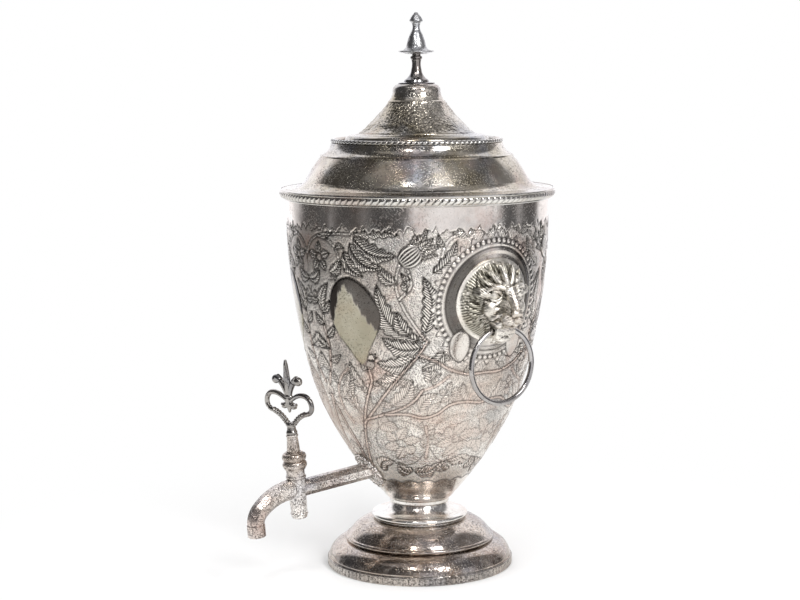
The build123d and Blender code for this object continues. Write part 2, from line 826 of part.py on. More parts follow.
# Cap that closes the barrel's foot, with a spigot in the bore
with BuildPart() as tap_cap:
    with BuildSketch(spout_plane):
        with BuildLine():
            Line((0, barrel_foot + 1.4), (bore_foot - thread_gap, barrel_foot + 1.4))
            Line((bore_foot - thread_gap, barrel_foot + 1.4), (bore_foot - thread_gap, barrel_foot))
            Line((bore_foot - thread_gap, barrel_foot), (6.6, barrel_foot))
            ThreePointArc((6.6, barrel_foot), (7.2, barrel_foot - 0.8), (6.4, barrel_foot - 1.6))
            Line((6.4, barrel_foot - 1.6), (6.3, barrel_foot - 3.2))
            ThreePointArc((6.3, barrel_foot - 3.2), (5.7, barrel_foot - 4.4), (4.4, barrel_foot - 5.0))
            Line((4.4, barrel_foot - 5.0), (0, barrel_foot - 5.0))
            Line((0, barrel_foot - 5.0), (0, barrel_foot + 1.4))
        make_face()
    revolve(axis=tap_axis)
save(tap_cap, "tap_cap")

# Packing ring on the plug's flange, and the double-beaded bonnet that holds it down
stem_radius = 5.05
stem_gap = 0.3
packing_top = barrel_top + 2.0
bonnet_top = 30.5
with BuildPart() as tap_packing:
    with BuildSketch(tap_plane.offset(barrel_top)):
        Circle(packing_radius)
        Circle(stem_radius + stem_gap, mode=Mode.SUBTRACT)
    extrude(amount=packing_top - barrel_top)
save(tap_packing, "tap_packing")

with BuildPart() as tap_bonnet:
    with BuildSketch(spout_plane):
        with BuildLine():
            Polyline(
                (packing_radius + thread_gap, barrel_top),
                (8.2, barrel_top),
                (8.6, barrel_top + 1.0),
            )
            ThreePointArc(
                (8.6, barrel_top + 1.0), (9.7, barrel_top + 3.9), (8.2, barrel_top + 6.8)
            )
            ThreePointArc(
                (8.2, barrel_top + 6.8), (9.6, barrel_top + 9.6), (8.6, bonnet_top - 1.4)
            )
            Polyline(
                (8.6, bonnet_top - 1.4),
                (7.4, bonnet_top - 0.9),
                (6.6, bonnet_top),
                (stem_radius + stem_gap, bonnet_top),
                (stem_radius + stem_gap, packing_top),
                (packing_radius + thread_gap, packing_top),
                (packing_radius + thread_gap, barrel_top),
            )
        make_face()
    revolve(axis=tap_axis)
save(tap_bonnet, "tap_bonnet")

# Plug: a ground taper with a cross port, a flange under the packing and a stem for the key
stem_end = 44.7
with BuildPart() as tap_plug:
    with BuildSketch(spout_plane):
        with BuildLine():
            Polyline(
                (0, plug_foot),
                (plug_foot_radius, plug_foot),
                (plug_top_radius, plug_head),
                (plug_top_radius, plug_head + flange_gap),
                (flange_radius, plug_head + flange_gap),
                (flange_radius, barrel_top - flange_gap),
                (stem_radius, barrel_top - flange_gap),
                (stem_radius, bonnet_top + 3.0),
                (4.3, stem_end - 2.0),
                (4.9, stem_end - 1.4),
                (4.9, stem_end - 0.5),
                (4.4, stem_end),
                (0, stem_end),
                close=True,
            )
        make_face()
    revolve(axis=tap_axis)
    with BuildSketch(Plane(key_plane.origin, x_dir=key_plane.y_dir, z_dir=key_plane.x_dir)):
        Circle(port_radius)
    extrude(amount=plug_top_radius * 2, both=True, mode=Mode.SUBTRACT)
save(tap_plug, "tap_plug")

# Key: an open heart of round wire carrying a lily
heart_foot = stem_end + 5.0
lily_foot = heart_foot + 12.8
lily_band = heart_foot + 25.8
lily_tip = heart_foot + 54.8
lily_thick = 4.4
with BuildPart() as tap_key:
    with BuildSketch(wing_plane):
        with BuildLine():
            Polyline((0, stem_end), (4.3, stem_end), (4.4, stem_end + 2.0))
            ThreePointArc((4.4, stem_end + 2.0), (3.5, heart_foot), (3.9, heart_foot + 3.0))
            Polyline((3.9, heart_foot + 3.0), (0, heart_foot + 3.6), (0, stem_end))
        make_face()
    revolve(axis=tap_axis)
    for side in (1, -1):
        with BuildLine(wing_plane) as heart_path:
            arm = ThreePointArc(
                (side * 2.0, heart_foot + 1.5),
                (side * 9.6, heart_foot + 8.8),
                (side * (heart_half_width - 7.0), heart_foot + 13.2),
            )
            widest = (side * (heart_half_width - 2.4), heart_foot + 21.6)
            highest = (side * (heart_half_width - 13.1), heart_foot + 27.2)
            shoulder = TangentArc(arm @ 1, widest, tangent=arm % 1)
            lobe = TangentArc(shoulder @ 1, highest, tangent=shoulder % 1)
            TangentArc(lobe @ 1, (side * heart_wire, heart_foot + 21.7), tangent=lobe % 1)
        heart_wire_path = heart_path.wires()[0]
        with BuildSketch(Plane(heart_wire_path @ 0, z_dir=heart_wire_path % 0)):
            Circle(heart_wire)
        sweep(path=heart_wire_path)
    # Lily: a bound middle leaf between two curled ones, with a point and two curls below
    with BuildSketch(wing_plane) as lily:
        with BuildLine():
            ThreePointArc((0, lily_foot), (2.4, lily_foot + 4.9), (1.5, lily_band))
            Polyline((1.5, lily_band), (0, lily_band), (0, lily_foot))
        make_face()
        with BuildLine():
            curl_top = (10.0, lily_band + 16.3)
            curl_end = (15.0, lily_band + 11.3)
            curl_throat = (10.9, lily_band + 11.3)
            ThreePointArc((0.6, lily_band), (3.8, lily_band + 9.7), curl_top)
            ThreePointArc(curl_top, (15.2, lily_band + 15.7), curl_end)
            ThreePointArc(curl_end, (12.8, lily_band + 9.3), curl_throat)
            ThreePointArc(curl_throat, (6.6, lily_band + 7.5), (3.6, lily_band))
            Line((3.6, lily_band), (0.6, lily_band))
        make_face()
        with BuildLine():
            leaf_edge = (3.5, lily_band + 13.5)
            ThreePointArc((0, lily_tip), (2.2, lily_tip - 7.7), leaf_edge)
            ThreePointArc(leaf_edge, (2.6, lily_band + 6.5), (1.6, lily_band))
            Polyline((1.6, lily_band), (0, lily_band), (0, lily_tip))
        make_face()
        with Locations((4.6, lily_foot + 5.7)):
            Circle(2.7)
        with Locations((0, lily_band)):
            Rectangle(7.6, 3.0)
        mirror(about=Plane.YZ)
    extrude(amount=lily_thick / 2, both=True)
save(tap_key, "tap_key")
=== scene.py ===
import bpy
import bmesh
import json
import math
import numpy as np
from mathutils import Matrix, Vector
from mathutils.bvhtree import BVHTree


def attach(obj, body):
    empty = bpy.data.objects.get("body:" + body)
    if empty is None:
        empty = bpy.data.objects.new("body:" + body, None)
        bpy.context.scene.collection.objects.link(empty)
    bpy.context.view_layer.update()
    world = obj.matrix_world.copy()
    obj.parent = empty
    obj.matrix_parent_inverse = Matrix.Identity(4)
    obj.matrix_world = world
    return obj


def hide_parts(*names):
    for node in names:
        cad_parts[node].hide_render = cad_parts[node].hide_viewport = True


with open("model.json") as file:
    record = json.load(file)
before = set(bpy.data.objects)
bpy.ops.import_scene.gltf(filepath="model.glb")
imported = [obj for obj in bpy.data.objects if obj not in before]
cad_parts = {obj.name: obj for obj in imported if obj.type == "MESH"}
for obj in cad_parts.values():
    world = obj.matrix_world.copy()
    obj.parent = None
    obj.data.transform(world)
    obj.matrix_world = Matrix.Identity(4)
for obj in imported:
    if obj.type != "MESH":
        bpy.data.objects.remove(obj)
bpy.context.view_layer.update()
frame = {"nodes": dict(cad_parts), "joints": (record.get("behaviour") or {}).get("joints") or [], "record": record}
nodes = frame["nodes"]
mm = 0.001
print("frame loaded:", len(nodes), "pieces")


def linearColour(code):
    # an sRGB hex code as the linear colour that a shader takes
    parts = [int(code[i:i + 2], 16) / 255 for i in (1, 3, 5)]
    return tuple(p / 12.92 if p <= 0.04045 else ((p + 0.055) / 1.055) ** 2.4 for p in parts) + (1.0,)


def addNode(tree, kind, settings=None, links=None):
    # one shader node: its settings by name, its inputs by name or number, from a socket or a value
    node = tree.nodes.new("ShaderNode" + kind)
    for name, value in (settings or {}).items():
        setattr(node, name, value)
    for name, value in (links or {}).items():
        if isinstance(value, bpy.types.NodeSocket):
            tree.links.new(value, node.inputs[name])
        else:
            node.inputs[name].default_value = value
    return node


def newMaterial(name):
    material = bpy.data.materials.new(name)
    material.use_nodes = True
    return material, material.node_tree


def addObject(name, data):
    thing = bpy.data.objects.new(name, data)
    bpy.context.scene.collection.objects.link(thing)
    return thing


# the camera, fitted to the picture's ellipses
camera = {
    "distance": 1447 * mm,  # along the table, from the urn's axis
    "height": 408 * mm,
    "azimuth": 55.0,  # round from the tap towards the right-hand lion
    "pitch": 7.47,  # downwards
    "roll": 0.4,  # the picture's right side stands a little high
    "lens": 80.6,
    "shift": -0.0225,
}


def aimCamera(look):
    turn, pitch, roll = (math.radians(look[k]) for k in ("azimuth", "pitch", "roll"))
    right = Vector((math.cos(turn), math.sin(turn), 0))
    ahead = Vector((-math.sin(turn) * math.cos(pitch), math.cos(turn) * math.cos(pitch), -math.sin(pitch)))
    above = right.cross(ahead)
    sideways = right * math.cos(roll) - above * math.sin(roll)
    upward = right * math.sin(roll) + above * math.cos(roll)
    data = bpy.data.cameras.new("camera")
    data.lens, data.sensor_width, data.shift_x, data.clip_start = look["lens"], 36.0, look["shift"], 0.01
    eye = addObject("camera", data)
    place = Vector((math.sin(turn), -math.cos(turn), 0)) * look["distance"] + Vector((0, 0, look["height"]))
    eye.matrix_world = Matrix.Translation(place) @ Matrix((sideways, upward, -ahead)).transposed().to_4x4()
    bpy.context.scene.camera = eye


aimCamera(camera)

# the studio: pale table and walls, soft boxes, and the room that the silver mirrors
studio = {
    "floor": "#f4f4f4",
    "floorReach": 0.95,  # metres from the urn to the table's edge
    "walls": "#ffffff",
    "wallLight": 0.9,  # what the walls light the urn with; the camera sees them at 1
    "shadowReach": (0.10, 0.42),  # metres from the axis over which the paper fades to plain white
    "boxes": {  # compass angle from the camera's side, height, distance, width, depth, watts
        "keyBox": (34, 1.15, 1.35, 0.45, 0.7, 12),
        "nearBox": (-12, 1.45, 1.20, 0.16, 0.4, 4),
        "fillBox": (-80, 0.9, 1.4, 0.9, 0.9, 5),
    },
    "roomSize": 2.4,  # metres from the axis to the mirrored room's walls
    "roomTint": "#fbfaff",
    "roomDark": 0.09,  # brightness where no patch lies
    # patches on the room's walls: compass angles, elevations, how soft their edges are in degrees, brightness
    "patches": [
        ((-22, 125), (14, 50), 16, 0.25),  # the lit side of the room
        ((-70, 125), (54, 80), 14, 0.5),
        ((128, 232), (-34, 62), 14, 1.3),  # white wall behind the urn
        ((-6, 74), (-34, 26), 9, 0.9),  # white screen on the right of the camera
        ((-134, -120), (-34, 12), 8, 0.7),
        ((-8, 5), (42, 78), 7, 1.2),  # two high lamps
        ((24, 46), (42, 78), 8, 1.1),
        ((-48, -42), (-34, 50), 4, 0.3),  # door frames
        ((-80, -76), (-34, 20), 4, 0.35),
        ((94, 100), (-34, 44), 4, 0.5),
        ((-180, 180), (82, 90), 6, 0.6),  # ceiling
    ],
}


def compassPoint(angle, distance, height):
    turn = math.radians(camera["azimuth"] + angle)
    return Vector((math.sin(turn) * distance, -math.cos(turn) * distance, height))


def buildStudio(look):
    world = bpy.data.worlds.new("studioWalls")
    bpy.context.scene.world = world
    world.use_nodes = True
    tree = world.node_tree
    tree.nodes.clear()
    path = addNode(tree, "LightPath")
    strength = addNode(tree, "MapRange",
                       links={"Value": path.outputs["Is Camera Ray"], "To Min": look["wallLight"], "To Max": 1.0})
    wall = addNode(tree, "Background",
                   links={"Color": linearColour(look["walls"]), "Strength": strength.outputs["Result"]})
    addNode(tree, "OutputWorld", links={"Surface": wall.outputs["Background"]})
    middle = Vector((0, 0, 0.22))
    for name, (angle, height, distance, width, depth, watts) in look["boxes"].items():
        lamp = bpy.data.lights.new(name, "AREA")
        lamp.shape, lamp.size, lamp.size_y, lamp.energy = "RECTANGLE", width, depth, watts
        box = addObject(name, lamp)
        box.location = compassPoint(angle, distance, height)
        box.rotation_euler = (middle - box.location).to_track_quat("-Z", "Y").to_euler()
        box.visible_glossy = name != "fillBox"
    # the room is a dome that only mirrored rays can see, with its brightness painted on its vertices
    angles, rises = np.arange(-180, 180, 3.0), np.arange(-34, 91, 2.0)
    angle, rise = np.meshgrid(angles, rises)
    light = np.full(angle.shape, look["roomDark"])
    for (left, right), (low, high), soft, glow in look["patches"]:
        middle, half = (left + right) / 2, (right - left) / 2
        beside = np.abs((angle - middle + 180) % 360 - 180) - half
        outside = np.maximum(beside, np.maximum(low - rise, rise - high))
        share = np.clip(0.5 - outside / soft, 0, 1)
        light = light + (glow - light) * share * share * (3 - 2 * share)
    points = [compassPoint(a, look["roomSize"] * math.cos(math.radians(r)),
                           look["roomSize"] * math.sin(math.radians(r)))
              for a, r in zip(angle.reshape(-1), rise.reshape(-1))]
    count = len(angles)
    faces = [(count * i + k, count * i + (k + 1) % count, count * (i + 1) + (k + 1) % count, count * (i + 1) + k)
             for i in range(len(rises) - 1) for k in range(count)]
    mesh = bpy.data.meshes.new("mirroredRoom")
    mesh.from_pydata(points, [], faces)
    mesh.attributes.new("light", "FLOAT", "POINT").data.foreach_set("value", light.reshape(-1).astype(np.float32))
    paint, tree = newMaterial("roomPaint")
    glow = addNode(tree, "Emission", links={"Color": linearColour(look["roomTint"]),
                                            "Strength": addNode(tree, "Attribute",
                                                                {"attribute_name": "light"}).outputs["Fac"]})
    tree.links.new(glow.outputs[0], tree.nodes["Material Output"].inputs["Surface"])
    mesh.materials.append(paint)
    room = addObject("mirroredRoom", mesh)
    room.visible_camera = room.visible_shadow = room.visible_diffuse = room.visible_transmission = False
    mesh = bpy.data.meshes.new("floor")
    rim = [(look["floorReach"] * math.cos(math.radians(a)), look["floorReach"] * math.sin(math.radians(a)), 0)
           for a in range(0, 360, 5)]
    mesh.from_pydata(rim, [], [tuple(range(len(rim)))])
    # white paper that the camera sees burn out to plain white away from the foot
    paper, tree = newMaterial("whitePaper")
    shader = tree.nodes["Principled BSDF"]
    shader.inputs["Base Color"].default_value = linearColour(look["floor"])
    shader.inputs["Roughness"].default_value = 0.8
    place = addNode(tree, "TexCoord").outputs["Object"]
    away = addNode(tree, "VectorMath", {"operation": "LENGTH"}, {0: place}).outputs["Value"]
    burnt = addNode(tree, "MapRange", {"interpolation_type": "SMOOTHSTEP"},
                    {"Value": away, "From Min": look["shadowReach"][0],
                     "From Max": look["shadowReach"][1]}).outputs["Result"]
    seen = addNode(tree, "LightPath").outputs["Is Camera Ray"]
    share = addNode(tree, "Math", {"operation": "MULTIPLY"}, {0: burnt, 1: seen}).outputs[0]
    white = addNode(tree, "Emission", links={"Color": linearColour("#ffffff"), "Strength": 1.0})
    both = addNode(tree, "MixShader", links={0: share, 1: shader.outputs[0], 2: white.outputs[0]})
    tree.links.new(both.outputs[0], tree.nodes["Material Output"].inputs["Surface"])
    mesh.materials.append(paper)
    floor = addObject("floor", mesh)
    bpy.context.scene.view_settings.view_transform = "Standard"


buildStudio(studio)
print("studio built")

# finishes of tarnished silver plate: the colour of clean plate, of three films and of the dirt in cuts, then how much
# shows of each layer of wear and of the painted glints. Metres in the record's frame: a noise scale of 1000 has grains
# of about a millimetre
finishes = {
    # warm white plate clouded brown and pinkish, matted between the leaves and dark where it is cut
    "engravedSilver": {"plate": "#f2ece4", "cloud": "#b39d8b", "tint": "#a9a8a6", "warm": "#c59d8a", "cut": "#221c18",
                       "clouds": 0.6, "paintedGlints": 0.0, "specks": 0.3, "roughness": 0.15, "dents": 0.10, "matting": 1.0},
    # the lid: olive-brown clouds, blue-grey and pinkish films and fine pits like pepper
    "lidSilver": {"plate": "#d8d1c5", "cloud": "#95896c", "tint": "#8c96a8", "warm": "#b0958a", "cut": "#15110e",
                  "clouds": 0.9, "paintedGlints": 0.16, "specks": 0.75, "roughness": 0.085, "dents": 0.10, "matting": 0.0},
    # the foot: darker and browner than the lid, with dark pits, and bright specks painted in as glints of light
    "footSilver": {"plate": "#c9bdb1", "cloud": "#75604f", "tint": "#888b93", "warm": "#9c7f73", "cut": "#15110e",
                   "clouds": 0.9, "paintedGlints": 0.55, "specks": 0.9, "roughness": 0.085, "dents": 0.10, "matting": 0.0},
    # polished plate, almost clean where cloths rub it
    "brightSilver": {"plate": "#dedbd5", "cloud": "#a39a8a", "tint": "#a4a9b0", "warm": "#b5a094", "cut": "#231f1b",
                     "clouds": 0.6, "paintedGlints": 0.0, "specks": 0.3, "roughness": 0.08, "dents": 0.05, "matting": 0.0},
    # the neck: a paler copy of the plate, painted bright to stand in for the highlight down its front
    "neckSilverPaintedBright": {"plate": "#f1eee8", "cloud": "#b9aa98", "tint": "#b4b4b8", "warm": "#c4ab9c", "cut": "#231f1b",
                   "clouds": 0.5, "paintedGlints": 0.0, "specks": 0.25, "roughness": 0.14, "dents": 0.05, "matting": 0.0},
    # the finial's bell and bud, dulled to grey and dented
    "dullSilver": {"plate": "#c9c9c9", "cloud": "#858480", "tint": "#979da7", "warm": "#a09188", "cut": "#1c1917",
                   "clouds": 0.8, "paintedGlints": 0.0, "specks": 0.8, "roughness": 0.27, "dents": 1.0, "matting": 0.0},
    # the lions' casting: a soft gloss, greenish dirt in its hollows, its creases darkened by dirt and by painted shade
    "maskSilver": {"plate": "#f0ebe2", "cloud": "#a0977f", "tint": "#9d9b97", "warm": "#b09b8c", "cut": "#2a241c",
                   "clouds": 0.7, "paintedGlints": 0.0, "specks": 0.3, "roughness": 0.34, "dents": 0.10, "matting": 0.0},
    # the tap's casting, pinkish where the plate is worn thin
    "tapSilver": {"plate": "#fbf6f1", "cloud": "#a39385", "tint": "#9ca1ad", "warm": "#bb9c92", "cut": "#1a1614",
                  "clouds": 0.85, "paintedGlints": 0.15, "specks": 0.85, "roughness": 0.21, "dents": 0.16, "matting": 0.0,
                  "chasing": 0.42},
    # the rings' wire: grey, darker where it has dulled
    "ringSilver": {"plate": "#bdbab7", "cloud": "#7c7674", "tint": "#86878e", "warm": "#978a86", "cut": "#1d1a1a",
                   "clouds": 0.7, "paintedGlints": 0.0, "specks": 0.3, "roughness": 0.07, "dents": 0.06, "matting": 0.0},
    # the relief band round the foot, its hollows dirty
    "bandSilver": {"plate": "#e2dad1", "cloud": "#7d6c5e", "tint": "#8b8d92", "warm": "#9d8679", "cut": "#1a1613",
                   "clouds": 0.85, "paintedGlints": 0.3, "specks": 0.8, "roughness": 0.16, "dents": 0.5, "matting": 0.0,
                   "chasing": 0.5},
    # the finial and the key, gone dark: they show mostly by what they mirror
    "darkSilver": {"plate": "#a5a19c", "cloud": "#554e48", "tint": "#6f7685", "warm": "#806e65", "cut": "#110f0d",
                   "clouds": 0.85, "paintedGlints": 0.0, "specks": 0.4, "roughness": 0.11, "dents": 0.12, "matting": 0.0},
}
dirtGreen = "#7d795c"  # what settles behind the mane and in the shield
filmDark = "#302c29"  # a thick film of tarnish, and the painted dark reflection of the room on burnished fields
leafAndGlintBright = "#ebe6dd"  # the engraved leaves, rubbed clean; also the colour of the painted glints


def platedSilver(name, look):
    finish, tree = newMaterial(name)
    shader = tree.nodes["Principled BSDF"]
    place = addNode(tree, "TexCoord").outputs["Object"]
    # each layer's noise scale, the noise values between which it fades in, and a shift that sets it apart. Clouds lie
    # a few centimetres apart, pits and painted glints about a millimetre, and the pits gather in drifts
    spread = {
        "clouds": (16, 0.42, 0.66, (0, 0, 0)),
        "tints": (22, 0.50, 0.68, (3, 1, 2)),
        "warms": (28, 0.52, 0.70, (7, 5, 1)),
        "pits": (760, 0.54, 0.62, (0, 0, 0)),
        "paintedGlints": (880, 0.53, 0.62, (4, 8, 2)),
        "drifts": (45, 0.34, 0.56, (9, 2, 4)),
    }
    masks = {}
    for mask, (scale, low, high, shift) in spread.items():
        moved = addNode(tree, "Mapping", links={"Vector": place, "Location": shift})
        noise = addNode(tree, "TexNoise",
                        links={"Vector": moved.outputs[0], "Scale": scale, "Detail": 5.0, "Roughness": 0.6})
        masks[mask] = addNode(tree, "MapRange", links={"Value": noise.outputs["Fac"], "From Min": low,
                                                       "From Max": high}).outputs["Result"]
    masks["specks"] = addNode(tree, "Math", {"operation": "MULTIPLY"},
                              {0: masks["pits"], 1: masks["drifts"]}).outputs[0]
    # what the pieces themselves carry: cuts (on the lions also painted shade in creases), worn plate, greenish dirt,
    # tarnish film with painted dark reflections, rubbed leaves and matted ground
    for mask in ("cut", "worn", "green", "film", "leafy", "ground"):
        masks[mask] = addNode(tree, "Attribute", {"attribute_name": mask}).outputs["Fac"]
    # shallow dents, about 14 mm apart
    dents = addNode(tree, "TexNoise", links={"Vector": place, "Scale": 70.0, "Detail": 3.0})
    waves = addNode(tree, "Bump", links={"Height": dents.outputs["Fac"], "Strength": look["dents"], "Distance": 2 * mm})
    pitting = addNode(tree, "Bump", {"invert": True},
                      {"Height": masks["specks"], "Strength": look["specks"], "Distance": 0.1 * mm,
                       "Normal": waves.outputs[0]})
    normal = pitting.outputs[0]
    # the glints layer is painted highlight: bright specks in the colour where fine scratches would catch the light
    layers = [("clouds", look["clouds"], look["cloud"]), ("tints", 0.6, look["tint"]), ("warms", 0.5, look["warm"]),
              ("leafy", 0.55, leafAndGlintBright), ("paintedGlints", look["paintedGlints"], leafAndGlintBright),
              ("specks", look["specks"], look["cut"]), ("film", 1.0, filmDark),
              ("worn", 0.5, look["warm"]), ("green", 0.75, dirtGreen)]
    if look["matting"]:
        # matting: the ground is punched all over with a small round tool, and dirt stays in the marks
        cells = addNode(tree, "TexVoronoi", {"feature": "SMOOTH_F1"},
                        {"Vector": place, "Scale": 780.0, "Smoothness": 0.3})
        heads = addNode(tree, "MapRange",
                        links={"Value": cells.outputs["Distance"], "From Min": 0.2, "From Max": 0.6}).outputs["Result"]
        raised = addNode(tree, "Math", {"operation": "MULTIPLY"}, {0: heads, 1: masks["ground"]}).outputs[0]
        masks["punched"] = addNode(tree, "Math", {"operation": "SUBTRACT"}, {0: masks["ground"], 1: raised}).outputs[0]
        matting = addNode(tree, "Bump", links={"Height": raised, "Strength": look["matting"], "Distance": 0.45 * mm,
                                               "Normal": normal})
        # hatching: the wall's pieces count the strokes along each leaf
        count = addNode(tree, "Attribute", {"attribute_name": "stripe"}).outputs["Fac"]
        turns = addNode(tree, "Math", {"operation": "MULTIPLY"}, {0: count, 1: 2 * math.pi})
        wave = addNode(tree, "Math", {"operation": "SINE"}, {0: turns.outputs[0]})
        stroke = addNode(tree, "MapRange", links={"Value": wave.outputs[0], "From Min": -0.1, "From Max": 0.7})
        shown = addNode(tree, "Attribute", {"attribute_name": "hatched"}).outputs["Fac"]
        masks["hatching"] = addNode(tree, "Math", {"operation": "MULTIPLY"},
                                    {0: stroke.outputs["Result"], 1: shown}).outputs[0]
        grooves = addNode(tree, "Bump", {"invert": True},
                          {"Height": masks["hatching"], "Strength": 1.0, "Distance": 0.5 * mm,
                           "Normal": matting.outputs[0]})
        normal = grooves.outputs[0]
        layers += [("punched", 0.55, look["cut"]), ("hatching", 0.85, look["cut"])]
    if "chasing" in look:
        # fine curls cut into the casting, dirt in them
        wander = addNode(tree, "TexNoise", links={"Vector": place, "Scale": 300.0, "Detail": 1.0, "Distortion": 0.6})
        beside = addNode(tree, "Math", {"operation": "SUBTRACT"}, {0: wander.outputs["Fac"], 1: 0.5})
        apart = addNode(tree, "Math", {"operation": "ABSOLUTE"}, {0: beside.outputs[0]})
        masks["curls"] = addNode(tree, "MapRange",
                                 links={"Value": apart.outputs[0], "From Min": 0.012, "From Max": 0.035, "To Min": 1.0,
                                        "To Max": 0.0}).outputs["Result"]
        chased = addNode(tree, "Bump", {"invert": True},
                         {"Height": masks["curls"], "Strength": 0.8, "Distance": 0.3 * mm, "Normal": normal})
        normal = chased.outputs[0]
        layers.append(("curls", look["chasing"], look["cut"]))
    colour = linearColour(look["plate"])
    for mask, share, code in layers + [("cut", 1.0, look["cut"])]:
        part = addNode(tree, "Math", {"operation": "MULTIPLY", "use_clamp": True}, {0: masks[mask], 1: share})
        colour = addNode(tree, "Mix", {"data_type": "RGBA"},
                         {0: part.outputs[0], 6: colour, 7: linearColour(code)}).outputs[2]
    # dull where it is cloudy, more so where it is pitted or matted
    dull = look["roughness"]
    for mask, share in (("clouds", 0.05), ("specks", 0.3), ("ground", 0.15), ("film", 0.08)):
        dull = addNode(tree, "Math", {"operation": "MULTIPLY_ADD"}, {0: masks[mask], 1: share, 2: dull}).outputs[0]
    shader.inputs["Metallic"].default_value = 1.0
    for socket, value in (("Base Color", colour), ("Roughness", dull), ("Normal", normal)):
        tree.links.new(value, shader.inputs[socket])
    return finish


materials = {name: platedSilver(name, look) for name, look in finishes.items()}


def plainFinish(name, colour, metallic, roughness):
    # two shades of a colour, mixed by fine noise
    finish, tree = newMaterial(name)
    place = addNode(tree, "TexCoord").outputs["Object"]
    noise = addNode(tree, "TexNoise", links={"Vector": place, "Scale": 300.0, "Detail": 4.0})
    shade = addNode(tree, "Mix", {"data_type": "RGBA"},
                    {0: noise.outputs["Fac"], 6: linearColour(colour[0]), 7: linearColour(colour[1])})
    shader = tree.nodes["Principled BSDF"]
    tree.links.new(shade.outputs[2], shader.inputs["Base Color"])
    shader.inputs["Metallic"].default_value, shader.inputs["Roughness"].default_value = metallic, roughness
    return finish


materials["dullBrass"] = plainFinish("dullBrass", ("#b39a5e", "#8a7443"), 1.0, 0.38)  # nuts and bolts inside
materials["redFibre"] = plainFinish("redFibre", ("#6b2f22", "#4d2219"), 0.0, 0.7)  # washers that seal

slotFinish = {
    "engraved_silver": "engravedSilver", "fastener_brass": "dullBrass", "finial_silver": "darkSilver",
    "foot_border": "bandSilver", "foot_silver": "footSilver", "gasket_fibre": "redFibre", "key_silver": "darkSilver",
    "lid_silver": "lidSilver", "mask_silver": "maskSilver", "plug_silver": "tapSilver", "rim_silver": "brightSilver",
    "ring_silver": "ringSilver", "rope_silver": "brightSilver", "tap_silver": "tapSilver",
}
# where a piece is duller than its neighbours, or painted brighter for a highlight
nodeFinish = {"stem": "neckSilverPaintedBright", "finial_bell": "dullSilver", "finial_bud": "dullSilver"}
for part in frame["record"]["subparts"]:
    mesh = nodes[part["node"]].data
    mesh.materials.clear()
    mesh.materials.append(materials[nodeFinish.get(part["node"], slotFinish[part["material_slot"]])])
print("finishes made:", ", ".join(materials))


def lathePoints(node, step):
    # (radius, height) pairs down the outside of a turned CAD piece, in metres
    points = np.array([v.co[:] for v in nodes[node].data.vertices])
    radius, height = np.hypot(points[:, 0], points[:, 1]), points[:, 2]
    levels = np.arange(height.min(), height.max() + step / 2, step)
    rows = [(level, radius[np.abs(height - level) < step * 0.3]) for level in levels]
    return np.array([(found.max(), level) for level, found in rows if len(found)])


def meshFromGrid(name, points, material, closed=(False, False), marks=None, flip=False):
    # points is an array (rows, columns, 3); marks are per-vertex values that the finishes read
    rows, columns = points.shape[:2]
    index = np.arange(rows * columns).reshape(rows, columns)
    if closed[0]:
        index = np.vstack([index, index[:1]])
    if closed[1]:
        index = np.hstack([index, index[:, :1]])
    quads = np.stack([index[:-1, :-1], index[:-1, 1:], index[1:, 1:], index[1:, :-1]], -1).reshape(-1, 4)
    if flip:
        quads = quads[:, ::-1]
    mesh = bpy.data.meshes.new(name)
    mesh.vertices.add(rows * columns)
    mesh.vertices.foreach_set("co", points.reshape(-1).astype(np.float32))
    mesh.loops.add(quads.size)
    mesh.loops.foreach_set("vertex_index", quads.reshape(-1).astype(np.int32))
    mesh.polygons.add(len(quads))
    mesh.polygons.foreach_set("loop_start", np.arange(0, quads.size, 4, dtype=np.int32))
    mesh.polygons.foreach_set("use_smooth", np.ones(len(quads), dtype=bool))
    mesh.update(calc_edges=True)
    for mark, values in (marks or {}).items():
        layer = mesh.attributes.new(mark, "FLOAT", "POINT")
        layer.data.foreach_set("value", np.asarray(values, dtype=np.float32).reshape(-1))
    mesh.materials.append(material)
    piece = addObject(name, mesh)
    piece["gridRows"], piece["gridColumns"] = rows, columns
    return piece


